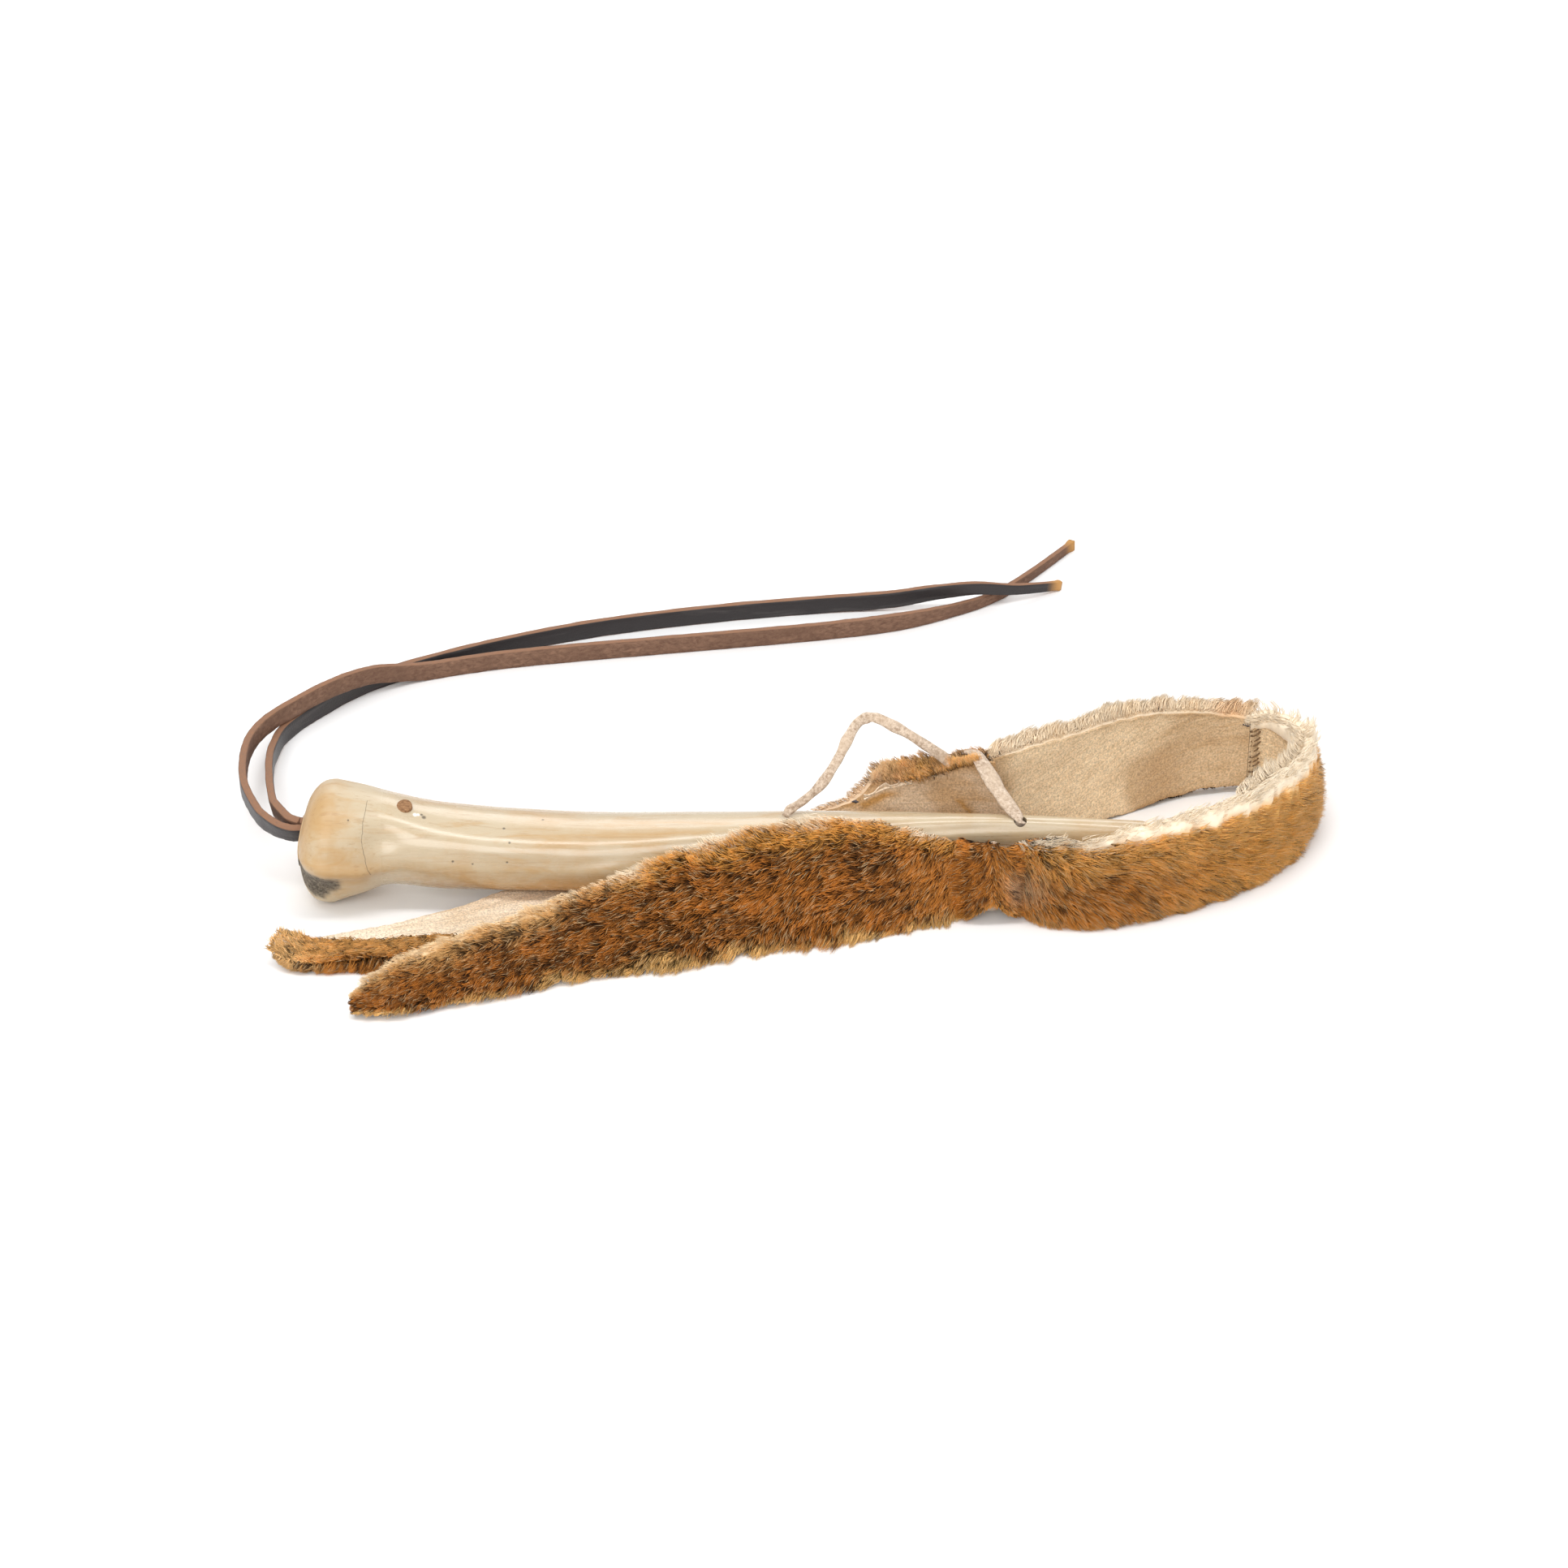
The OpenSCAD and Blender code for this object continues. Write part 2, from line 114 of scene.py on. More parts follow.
def named(name, material):
    piece = bpy.context.object
    piece.name = name
    piece.data.name = name
    piece.data.materials.clear()
    piece.data.materials.append(material)
    return piece


def applyAll(piece):
    pick(piece)
    for modifier in list(piece.modifiers):
        bpy.ops.object.modifier_apply(modifier=modifier.name)


def smoothShade(piece, degrees=180):
    pick(piece)
    bpy.ops.object.shade_smooth_by_angle(angle=math.radians(degrees))


def outward(piece):
    pick(piece)
    bpy.ops.object.mode_set(mode="EDIT")
    bpy.ops.mesh.select_all(action="SELECT")
    bpy.ops.mesh.normals_make_consistent(inside=False)
    bpy.ops.object.mode_set(mode="OBJECT")


def readPoints(mesh):
    co = np.empty(len(mesh.vertices) * 3)
    mesh.vertices.foreach_get("co", co)
    return co.reshape(-1, 3)


def writePoints(mesh, co):
    mesh.vertices.foreach_set("co", np.ascontiguousarray(co, float).ravel())
    mesh.update()


def paint(mesh, name, values):
    layer = mesh.attributes.get(name) or mesh.attributes.new(name, "FLOAT", "POINT")
    layer.data.foreach_set("value", np.ascontiguousarray(values, np.float32).ravel())


# a disc extruded ring by ring into a closed tube, each ring then put in its place
def ringTube(name, rings, material):
    count, sides = rings.shape[:2]
    deselectAll()
    bpy.ops.mesh.primitive_circle_add(vertices=sides, radius=0.5, fill_type="NGON",
                                      rotation=(0, math.pi / 2, 0))
    piece = named(name, material)
    bpy.ops.object.transform_apply(location=True, rotation=True, scale=True)
    bpy.ops.object.mode_set(mode="EDIT")
    bpy.ops.mesh.select_all(action="SELECT")
    for _ in range(count - 1):
        bpy.ops.mesh.extrude_region_move(TRANSFORM_OT_translate={"value": (1, 0, 0)})
    bpy.ops.object.mode_set(mode="OBJECT")
    co = readPoints(piece.data)
    ring = np.rint(co[:, 0]).astype(int)
    side = np.rint(np.arctan2(co[:, 2], co[:, 1]) / (2 * math.pi) * sides).astype(int) % sides
    writePoints(piece.data, rings[ring, side])
    outward(piece)
    smoothShade(piece)
    return piece, ring, side


# uv in metres: along the tube's rings, and round its sides from the first one
def tubeUv(piece, ring, side, sides, along, girth):
    mesh = piece.data
    layer = mesh.uv_layers.get(stripUv) or mesh.uv_layers.new(name=stripUv)
    corner = np.empty(len(mesh.loops), int)
    mesh.loops.foreach_get("vertex_index", corner)
    turn = side[corner].astype(float)
    for face in mesh.polygons:
        span = slice(face.loop_start, face.loop_start + face.loop_total)
        if face.loop_total == 4 and turn[span].max() - turn[span].min() > sides / 2:
            turn[span][turn[span] < 1] += sides
    layer.data.foreach_set("uv", np.stack([along[ring[corner]], turn / sides * girth], 1).ravel())


# Camera: 30 degrees down on the middle of the photo's frame
view = dict(lens=95.8, sensor=36, distance=1.8, tilt=30, target=(-0.0085, 0.0876, 0))
camera = bpy.data.objects.new("camera", bpy.data.cameras.new("camera"))
bpy.context.scene.collection.objects.link(camera)
camera.data.lens = view["lens"]
camera.data.sensor_width = view["sensor"]
tilt = math.radians(view["tilt"])
camera.location = (view["target"][0], view["target"][1] - view["distance"] * math.cos(tilt),
                   view["target"][2] + view["distance"] * math.sin(tilt))
camera.rotation_euler = (math.radians(90 - view["tilt"]), 0, 0)
bpy.context.scene.camera = camera
bpy.context.scene.view_settings.view_transform = "Standard"
print("camera set")


# Shader helpers
def addNode(tree, kind, settings=None, **sockets):
    node = tree.nodes.new(kind)
    for key, value in (settings or {}).items():
        setattr(node, key, value)
    for key, value in sockets.items():
        feed(tree, value, node.inputs[key.replace("_", " ")])
    return node


def feed(tree, value, socket):
    if isinstance(value, bpy.types.NodeSocket):
        tree.links.new(value, socket)
    elif isinstance(value, bpy.types.Node):
        tree.links.new(value.outputs[0], socket)
    elif socket.type == "RGBA" and len(value) == 3:
        socket.default_value = (*value, 1)
    else:
        socket.default_value = value


def mixColor(tree, factor, a, b, blend="MIX"):
    node = tree.nodes.new("ShaderNodeMix")
    node.data_type = "RGBA"
    node.blend_type = blend
    feed(tree, factor, node.inputs[0])
    feed(tree, a, node.inputs[6])
    feed(tree, b, node.inputs[7])
    return node.outputs[2]


def maths(tree, operation, a, b=0.0):
    node = tree.nodes.new("ShaderNodeMath")
    node.operation = operation
    feed(tree, a, node.inputs[0])
    feed(tree, b, node.inputs[1])
    return node.outputs[0]


def times(tree, a, b):
    return maths(tree, "MULTIPLY", a, b)


# a value carried over from one range to another
def ranged(tree, value, low=0.0, high=1.0, least=0.0, most=1.0):
    return addNode(tree, "ShaderNodeMapRange", Value=value, From_Min=low, From_Max=high,
                   To_Min=least, To_Max=most).outputs[0]


def objectPlace(tree):
    return addNode(tree, "ShaderNodeTexCoord").outputs["Object"]


def stripPlace(tree):
    return addNode(tree, "ShaderNodeUVMap", {"uv_map": stripUv}).outputs[0]


def newGroup(name, inputs, outputs):
    tree = bpy.data.node_groups.new(name, "ShaderNodeTree")
    for key, kind, start in inputs:
        socket = tree.interface.new_socket(name=key, in_out="INPUT", socket_type=kind)
        if start is not None:
            socket.default_value = start
    for key, kind in outputs:
        tree.interface.new_socket(name=key, in_out="OUTPUT", socket_type=kind)
    return tree, tree.nodes.new("NodeGroupInput"), tree.nodes.new("NodeGroupOutput")


# soft patches: noise that fades in between two levels
def makePatchGroup():
    tree, inside, outside = newGroup(
        "patches",
        [("Vector", "NodeSocketVector", None), ("Scale", "NodeSocketFloat", 20.0),
         ("Low", "NodeSocketFloat", 0.45), ("High", "NodeSocketFloat", 0.6)],
        [("Mask", "NodeSocketFloat")])
    cloud = addNode(tree, "ShaderNodeTexNoise", Vector=inside.outputs[0], Scale=inside.outputs[1],
                    Detail=5.0, Roughness=0.6)
    mask = addNode(tree, "ShaderNodeMapRange", {"interpolation_type": "SMOOTHSTEP"}, Value=cloud.outputs[0],
                   From_Min=inside.outputs[2], From_Max=inside.outputs[3])
    tree.links.new(mask.outputs[0], outside.inputs[0])
    return tree


# fibres: noise drawn out along the first direction of the vector
def makeFibreGroup():
    tree, inside, outside = newGroup(
        "fibres",
        [("Vector", "NodeSocketVector", None), ("Scale", "NodeSocketFloat", 400.0),
         ("Stretch", "NodeSocketFloat", 0.08), ("Twist", "NodeSocketFloat", 0.6)],
        [("Fibre", "NodeSocketFloat"), ("Fine", "NodeSocketFloat")])
    stretch = addNode(tree, "ShaderNodeCombineXYZ", X=inside.outputs[2], Y=1.0, Z=1.0)
    drawn = addNode(tree, "ShaderNodeVectorMath", {"operation": "MULTIPLY"})
    tree.links.new(inside.outputs[0], drawn.inputs[0])
    tree.links.new(stretch.outputs[0], drawn.inputs[1])
    coarse = addNode(tree, "ShaderNodeTexNoise", Vector=drawn, Scale=inside.outputs[1], Detail=4.0,
                     Roughness=0.65, Distortion=inside.outputs[3])
    finer = times(tree, inside.outputs[1], 3.1)
    fine = addNode(tree, "ShaderNodeTexNoise", Vector=drawn, Scale=finer, Detail=3.0, Roughness=0.7)
    tree.links.new(coarse.outputs[0], outside.inputs[0])
    tree.links.new(fine.outputs[0], outside.inputs[1])
    return tree


patchGroup = makePatchGroup()
fibreGroup = makeFibreGroup()


def useGroup(tree, group, **sockets):
    node = tree.nodes.new("ShaderNodeGroup")
    node.node_tree = group
    for key, value in sockets.items():
        feed(tree, value, node.inputs[key])
    return node


def newMaterial(name, **plain):
    material = bpy.data.materials.new(name)
    material.use_nodes = True
    tree = material.node_tree
    shader = tree.nodes["Principled BSDF"]
    for key, value in plain.items():
        shader.inputs[key.replace("_", " ")].default_value = value
    return material, tree, shader


def bumpInto(tree, shader, height, strength, distance):
    bump = addNode(tree, "ShaderNodeBump", Strength=strength, Distance=distance, Height=height)
    tree.links.new(bump.outputs[0], shader.inputs["Normal"])


def attribute(tree, name):
    return addNode(tree, "ShaderNodeAttribute", {"attribute_name": name}).outputs["Fac"]


# a hairline that bends across the bone near the butt, as a mask
def crackMask(tree, place):
    crack = dict(x=-0.1801, top=0.036, low=0.021, front=-0.006, curve=14.0, wander=0.0014,
                 thin=0.00003, wide=0.0002, most=0.6)
    xyz = addNode(tree, "ShaderNodeSeparateXYZ", Vector=place)
    wiggle = addNode(tree, "ShaderNodeTexNoise", Vector=place, Scale=260.0, Detail=2.0)
    drop = maths(tree, "SUBTRACT", xyz.outputs[2], crack["top"])
    bend = times(tree, times(tree, drop, drop), crack["curve"])
    line = maths(tree, "ADD", bend, times(tree, wiggle.outputs[0], crack["wander"]))
    along = maths(tree, "SUBTRACT", xyz.outputs[0], crack["x"])
    away = maths(tree, "ABSOLUTE", maths(tree, "SUBTRACT", along, line))
    thin = ranged(tree, away, crack["thin"], crack["wide"], crack["most"], 0.0)
    front = maths(tree, "LESS_THAN", xyz.outputs[1], crack["front"])
    above = maths(tree, "GREATER_THAN", xyz.outputs[2], crack["low"])
    return times(tree, thin, times(tree, front, above))


# small round marks as a mask
def spotMask(tree, place, spots):
    total = 0.0
    for centre, radius in spots:
        apart = addNode(tree, "ShaderNodeVectorMath", {"operation": "DISTANCE"})
        tree.links.new(place, apart.inputs[0])
        apart.inputs[1].default_value = centre
        near = ranged(tree, apart.outputs["Value"], radius * 0.6 * mm, radius * 1.3 * mm, 1.0, 0.0)
        total = maths(tree, "MAXIMUM", near, total)
    return total


# Bone: cream, stained amber in patches, with lengthwise grain, a grey spongy end, a hairline crack and a few nicks
def makeBone(nicks, chipGleams):
    look = dict(pale=tint(196, 179, 150), cream=tint(192, 168, 133), amber=tint(187, 147, 92),
                brown=tint(150, 108, 62), grey=tint(132, 120, 102), dark=tint(66, 57, 46), white=tint(250, 247, 240),
                stained=0.75, grained=0.42, specked=0.55, chipGleam=0.9, nicked=0.75, coat=0.6,
                gloss=(0.2, 0.34), dull=0.55, spongeRough=0.85, grainHigh=0.35, crackDeep=2.0, poreHigh=3.0)
    material, tree, shader = newMaterial("polishedBone", Coat_Roughness=0.14, IOR=1.5)
    place = objectPlace(tree)
    cloud = useGroup(tree, patchGroup, Vector=place, Scale=26.0, Low=0.42, High=0.68)
    smear = useGroup(tree, fibreGroup, Vector=place, Scale=120.0, Stretch=0.18, Twist=1.2)
    grain = useGroup(tree, fibreGroup, Vector=place, Scale=700.0, Stretch=0.035, Twist=0.3)
    specks = useGroup(tree, patchGroup, Vector=place, Scale=420.0, Low=0.7, High=0.78)
    base = mixColor(tree, cloud.outputs[0], look["pale"], look["cream"])
    base = mixColor(tree, ranged(tree, smear.outputs[0], 0.5, 0.74, most=look["stained"]), base, look["amber"])
    base = mixColor(tree, times(tree, attribute(tree, "stain"), cloud.outputs[0]), base, look["amber"])
    base = mixColor(tree, ranged(tree, grain.outputs[0], 0.54, 0.74, most=look["grained"]), base, look["brown"])
    base = mixColor(tree, times(tree, specks.outputs[0], look["specked"]), base, look["brown"])
    pores = addNode(tree, "ShaderNodeTexNoise", Vector=place, Scale=700.0, Detail=5.0, Roughness=0.75)
    spongy = attribute(tree, "spongy")
    pit = ranged(tree, pores.outputs[0], 0.4, 0.62)
    base = mixColor(tree, spongy, base, mixColor(tree, pit, look["dark"], look["grey"]))
    # painted highlight: the chips beside the peg are painted near-white
    base = mixColor(tree, times(tree, spotMask(tree, place, chipGleams), look["chipGleam"]), base, look["white"])
    nicked = times(tree, spotMask(tree, place, nicks), look["nicked"])
    crack = maths(tree, "MAXIMUM", crackMask(tree, place), nicked)
    base = mixColor(tree, crack, base, look["dark"])
    tree.links.new(base, shader.inputs["Base Color"])
    polish = attribute(tree, "polish")
    tree.links.new(times(tree, polish, look["coat"]), shader.inputs["Coat Weight"])
    dull = ranged(tree, polish, least=look["dull"], most=0.0)
    rough = maths(tree, "MAXIMUM", dull, times(tree, spongy, look["spongeRough"]))
    rough = maths(tree, "MAXIMUM", ranged(tree, smear.outputs[1], 0.3, 0.7, *look["gloss"]), rough)
    tree.links.new(rough, shader.inputs["Roughness"])
    height = times(tree, grain.outputs[1], look["grainHigh"])
    height = maths(tree, "SUBTRACT", height, times(tree, crack, look["crackDeep"]))
    height = maths(tree, "ADD", height, times(tree, times(tree, pit, spongy), look["poreHigh"]))
    bumpInto(tree, shader, height, 0.35, 0.0002)
    return material


# Lash leather: black grain on one face, brown flesh on the other, lighter cut edges and tan worn tips
def makeLeather():
    look = dict(black=tint(46, 41, 41), scuff=tint(92, 86, 84), flesh=tint(98, 70, 54), fleshPale=tint(134, 101, 80),
                edge=tint(150, 107, 78), tip=tint(190, 140, 78), drift=0.5, scuffed=0.7, rough=(0.82, 0.45),
                napHigh=0.8, pebbleHigh=0.4)
    material, tree, shader = newMaterial("lashLeather", IOR=1.45)
    place = objectPlace(tree)
    strip = stripPlace(tree)
    nap = useGroup(tree, fibreGroup, Vector=strip, Scale=900.0, Stretch=0.35, Twist=0.8)
    drift = useGroup(tree, patchGroup, Vector=place, Scale=45.0, Low=0.4, High=0.65)
    pebble = addNode(tree, "ShaderNodeTexVoronoi", Vector=place, Scale=1500.0)
    scuffs = useGroup(tree, fibreGroup, Vector=strip, Scale=260.0, Stretch=0.06, Twist=0.4)
    napShade = ranged(tree, nap.outputs[0], 0.35, 0.68)
    flesh = mixColor(tree, napShade, look["flesh"], look["fleshPale"])
    flesh = mixColor(tree, times(tree, drift.outputs[0], look["drift"]), flesh, look["flesh"])
    rub = ranged(tree, scuffs.outputs[0], 0.56, 0.8, most=look["scuffed"])
    black = mixColor(tree, rub, look["black"], look["scuff"])
    cutEdge = mixColor(tree, napShade, look["fleshPale"], look["edge"])
    base = mixColor(tree, attribute(tree, "grainFace"), flesh, black)
    base = mixColor(tree, attribute(tree, "cutEdge"), base, cutEdge)
    base = mixColor(tree, attribute(tree, "tipWear"), base, look["tip"])
    tree.links.new(base, shader.inputs["Base Color"])
    least, most = look["rough"]
    tree.links.new(ranged(tree, attribute(tree, "grainFace"), least=least, most=most), shader.inputs["Roughness"])
    height = maths(tree, "ADD", times(tree, nap.outputs[1], look["napHigh"]),
                   times(tree, pebble.outputs[0], look["pebbleHigh"]))
    bumpInto(tree, shader, height, 0.5, 0.0003)
    return material


# Hide: the flesh side of a scraped skin, khaki with slanting fibres and darker patches
def makeHide(name, look):
    material, tree, shader = newMaterial(name, Roughness=0.88, IOR=1.4)
    place = objectPlace(tree)
    strip = addNode(tree, "ShaderNodeVectorRotate", {"rotation_type": "Z_AXIS"}, Vector=stripPlace(tree),
                    Angle=math.radians(-look["slant"])).outputs[0]
    fibre = useGroup(tree, fibreGroup, Vector=strip, Scale=620.0, Stretch=0.16, Twist=1.6)
    streak = useGroup(tree, fibreGroup, Vector=strip, Scale=150.0, Stretch=0.1, Twist=1.0)
    patch = useGroup(tree, patchGroup, Vector=place, Scale=34.0, Low=0.5, High=0.72)
    grit = addNode(tree, "ShaderNodeTexNoise", Vector=place, Scale=1300.0, Detail=3.0)
    base = mixColor(tree, ranged(tree, fibre.outputs[0], 0.36, 0.66), look["mid"], look["pale"])
    base = mixColor(tree, ranged(tree, streak.outputs[0], 0.5, 0.66, most=look["streaks"]), base, look["dark"])
    base = mixColor(tree, times(tree, patch.outputs[0], 0.55), base, look["dark"])
    # soilAndShade darkens the hide: real soil, and painted shade and shadow where the panels' functions put it
    base = mixColor(tree, attribute(tree, "soilAndShade"), base, look["darkest"])
    base = mixColor(tree, 1.0, base, ranged(tree, grit.outputs[0], 0.3, 0.7, 0.68, 1.24), "MULTIPLY")
    tree.links.new(base, shader.inputs["Base Color"])
    height = maths(tree, "ADD", fibre.outputs[0], times(tree, grit.outputs[0], 0.6))
    bumpInto(tree, shader, height, 0.6, 0.0005)
    return material


# Fur: each strand carries its own colour, with painted shade at its root and painted light at its tip, and a little
# shimmer along it
def makeFur(name, roughness, sheen):
    material, tree, shader = newMaterial(name, Roughness=roughness, IOR=1.5, Specular_IOR_Level=0.25,
                                         Sheen_Weight=sheen, Sheen_Roughness=0.4)
    tone = addNode(tree, "ShaderNodeAttribute", {"attribute_name": "furTone"}).outputs["Color"]
    cloud = addNode(tree, "ShaderNodeTexNoise", Vector=objectPlace(tree), Scale=260.0, Detail=4.0)
    shade = ranged(tree, cloud.outputs[0], 0.3, 0.7, 0.92, 1.12)
    tree.links.new(mixColor(tree, 1.0, tone, shade, "MULTIPLY"), shader.inputs["Base Color"])
    return material


# Buckskin: suede with a short grey-tan nap
def makeBuckskin():
    look = dict(pale=tint(224, 205, 184), mid=tint(204, 181, 156), dark=tint(158, 133, 110), drift=0.6)
    material, tree, shader = newMaterial("buckskin", Roughness=0.92, IOR=1.4, Sheen_Weight=0.25, Sheen_Roughness=0.5)
    place = objectPlace(tree)
    nap = addNode(tree, "ShaderNodeTexNoise", Vector=place, Scale=700.0, Detail=4.0, Roughness=0.7)
    drift = useGroup(tree, patchGroup, Vector=place, Scale=110.0, Low=0.42, High=0.66)
    base = mixColor(tree, ranged(tree, nap.outputs[0], 0.36, 0.64), look["dark"], look["pale"])
    base = mixColor(tree, times(tree, drift.outputs[0], look["drift"]), base, look["mid"])
    tree.links.new(base, shader.inputs["Base Color"])
    bumpInto(tree, shader, nap.outputs[0], 0.7, 0.0005)
    return material


# Sinew thread and peg wood are both drawn-out fibres
def makeFibrous(name, pale, dark, roughness, stretch):
    material, tree, shader = newMaterial(name, Roughness=roughness, IOR=1.45)
    fibre = useGroup(tree, fibreGroup, Vector=objectPlace(tree), Scale=900.0, Stretch=stretch, Twist=1.5)
    base = mixColor(tree, ranged(tree, fibre.outputs[0], 0.35, 0.65), dark, pale)
    tree.links.new(base, shader.inputs["Base Color"])
    bumpInto(tree, shader, fibre.outputs[1], 0.6, 0.0003)
    return material


leather = makeLeather()
strapHide = makeHide("strapHide", dict(slant=24, streaks=0.4, pale=tint(240, 219, 186), mid=tint(220, 192, 154),
                                       dark=tint(186, 153, 112), darkest=tint(170, 134, 92)))
tailHide = makeHide("tailHide", dict(slant=6, streaks=0.85, pale=tint(246, 230, 208), mid=tint(234, 212, 184),
                                     dark=tint(210, 182, 148), darkest=tint(178, 132, 76)))
guardHair = makeFur("guardHair", 0.42, 0.0)
underHair = makeFur("underHair", 0.9, 0.3)
buckskin = makeBuckskin()
sinew = makeFibrous("sinew", tint(140, 110, 76), tint(78, 58, 38), 0.6, 0.3)
darkThread = makeFibrous("darkThread", tint(84, 80, 84), tint(36, 34, 40), 0.6, 0.3)
pegWood = makeFibrous("pegWood", tint(170, 128, 88), tint(116, 80, 50), 0.75, 0.5)
print("materials made")


# Straps and lashes: stations are x, y, z, lean, width, thickness in mm
cutSection = np.array([(1, -0.8), (1, 0), (1, 0.8), (0.95, 1), (0.5, 1), (0, 1), (-0.5, 1), (-0.95, 1),
                       (-1, 0.8), (-1, 0), (-1, -0.8), (-0.95, -1), (-0.5, -1), (0, -1), (0.5, -1), (0.95, -1)])
faceSides = {1: range(3, 8), -1: range(11, 16)}      # points of the cut section on its two flat faces
edgeSides = (0, 1, 2, 8, 9, 10)
softSection = np.array([(math.cos(a), math.sin(a) * (1.25 - 0.25 * abs(math.sin(a))))
                        for a in np.linspace(0, 2 * math.pi, 13)[:-1]])


def strapRings(route, section, ragged, seed):
    t = headings(route[:, :3])
    side = unitRows(np.cross(t, [0, 0, 1.0]))
    up = np.cross(side, t)
    lean = np.radians(route[:, 3])[:, None]
    wide = up * np.cos(lean) + side * np.sin(lean)
    thin = side * np.cos(lean) - up * np.sin(lean)
    run = runLength(route[:, :3])
    rings = []
    for k, (a, b) in enumerate(section):
        rough = 1 + ragged * ripple(run * 0.35, np.full_like(run, k * 0.9), seed)
        rings.append(route[:, :3] + (a * rough * route[:, 4] / 2)[:, None] * wide
                     + (b * rough * route[:, 5] / 2)[:, None] * thin)
    return np.stack(rings, 1) * mm


# Lashes: one strip folded over the peg, so its flesh sides face each other
lashes = dict(width=8, thickness=3.2, tip=4, tipThin=0.8, socketY=2, socketZ=28, tilt=25, gap=0.3, steps=12,
              ragged=0.035, wornTip=9)
outerLash = dict(
    side=-1, length=0.5635, seed=3, knob=1.75, start=(0.2, -3.4),
    turn=[(-8, 3.2, 26.9, -20), (-13.2, 9.6, 25.8, -14), (-19.4, 20.5, 24.2, -8), (-28, 46, 21.5, -3),
          (-32, 74, 17.5, 0), (-32, 98, 14.5, 0), (-27, 117, 13, 0), (-16, 134, 12.7, 0), (-1, 152, 12.5, 0),
          (15, 168, 10, 0)],
    run=[(37, 181.5, 0.6), (68, 192, 0.2), (105, 200, 0.2), (157, 209.5, 0.2), (213, 220, 0.2),
         (250, 229.5, 0.2)],
    end=[(277, 243, 3.4, 2), (296, 257, 2.9, 1), (313, 278, 2.6, 0.5), (336, 312, 2.4, 0)])
innerLash = dict(
    side=1, length=0.524, seed=5, knob=1.2, start=(0.2,),
    turn=[(-3.6, 5.7, 28.9, -23), (-7.3, 11.8, 28.2, -19), (-10.8, 19.3, 26.6, -14), (-13.5, 27.7, 24.4, -10),
          (-17.9, 51, 19, -4), (-22, 82, 12, 0), (-23, 106, 6.5, 0)],
    run=[(-20, 126.5, 0.2), (-7, 148, 0.2), (13, 171.5, 0.2), (45, 193, 0.2), (83, 212, 0.2), (120, 226, 0.2),
         (169, 238.5, 0.2), (213, 246.5, 0.2), (247, 249.5, 1.5)],
    end=[(269, 250, 9, 3), (287, 251, 10.6, 2), (307, 258, 6.5, 1), (328, 270, 2.4, 0)])


def lashRoute(lash):
    w, t = lashes["width"], lashes["thickness"]
    apart = lash["side"] * (t + lashes["gap"]) / 2
    tilt = math.radians(lashes["tilt"])
    exitY = lashes["socketY"] + apart * math.cos(tilt)
    exitZ = lashes["socketZ"] + apart * math.sin(tilt)
    start = [(x, exitY, exitZ, -lashes["tilt"], w, t) for x in lash["start"]]
    bend = [(*v, w, t) for v in lash["turn"]]
    far = [(x, y, w / 2 + z, 0, w, t) for x, y, z in lash["run"]]
    tip = [(x, y, z, 0, lashes["tip"] + more, t * lashes["tipThin"]) for x, y, z, more in lash["end"]]
    route = smoothRoute(start + bend + far + tip, lashes["steps"])
    route[:, 0] += buttX
    return route


def makeLash(name, node, lash):
    route = lashRoute(lash)
    run = runLength(route[:, :3])
    left = run[-1] - run
    flare = 1 + (lash["knob"] - 1) * (1 - fade(left, 0.2, 3.2)) * fade(left, -0.6, 0.9)     # the tip's knob
    route[:, 4] *= flare
    route[:, 5] *= flare
    rings = strapRings(route, cutSection, lashes["ragged"], lash["seed"])
    rings[:, :, 2] = np.maximum(rings[:, :, 2], overFloor["piece"] * mm)
    piece, ring, side = ringTube(name, rings, leather)
    tubeUv(piece, ring, side, len(cutSection), run * mm, 2 * (lashes["width"] + lashes["thickness"]) * mm)
    paint(piece.data, "grainFace", np.isin(side, faceSides[lash["side"]]))
    paint(piece.data, "cutEdge", np.isin(side, edgeSides))
    paint(piece.data, "tipWear", 1 - fade(left[ring], 1, lashes["wornTip"]))
    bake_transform(piece)
    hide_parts(node)
    print(name, "is", round(run[-1]), "mm long")


# the strip's fold round the peg, inside the socket: x along the handle and y across the fold, from the peg
def makeLashRoot():
    fold = dict(peg=44, round=4.9, easeX=-7.5, easeY=3.2, throat=-15, middle=-30, end=-43.8, steps=4)
    w, t = lashes["width"], lashes["thickness"]
    apart = (t + lashes["gap"]) / 2
    tilt = math.radians(lashes["tilt"])
    half = [(fold["end"], apart), (fold["middle"], apart), (fold["throat"], apart), (fold["easeX"], fold["easeY"])]
    bend = [(fold["round"] * math.cos(a), fold["round"] * math.sin(a)) for a in np.radians(range(90, -91, -30))]
    path = smoothRoute(half + bend + [(x, -y) for x, y in half[::-1]], fold["steps"])
    ahead = headings(path)
    thin = np.stack([-ahead[:, 1], ahead[:, 0]], 1)
    flat = path[:, None] + (cutSection[:, 1] * t / 2)[None, :, None] * thin[:, None]
    high = cutSection[:, 0] * w / 2
    rings = np.stack([buttX + fold["peg"] + flat[..., 0],
                      lashes["socketY"] + flat[..., 1] * math.cos(tilt) - high * math.sin(tilt),
                      lashes["socketZ"] + flat[..., 1] * math.sin(tilt) + high * math.cos(tilt)], 2) * mm
    piece, ring, side = ringTube("lashRoot", rings, leather)
    tubeUv(piece, ring, side, len(cutSection), runLength(path) * mm, 2 * (w + t) * mm)
    paint(piece.data, "grainFace", np.isin(side, faceSides[1]))
    paint(piece.data, "cutEdge", np.isin(side, edgeSides))
    paint(piece.data, "tipWear", np.zeros(len(side)))
    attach(piece, "handle")
    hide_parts("lash_root")


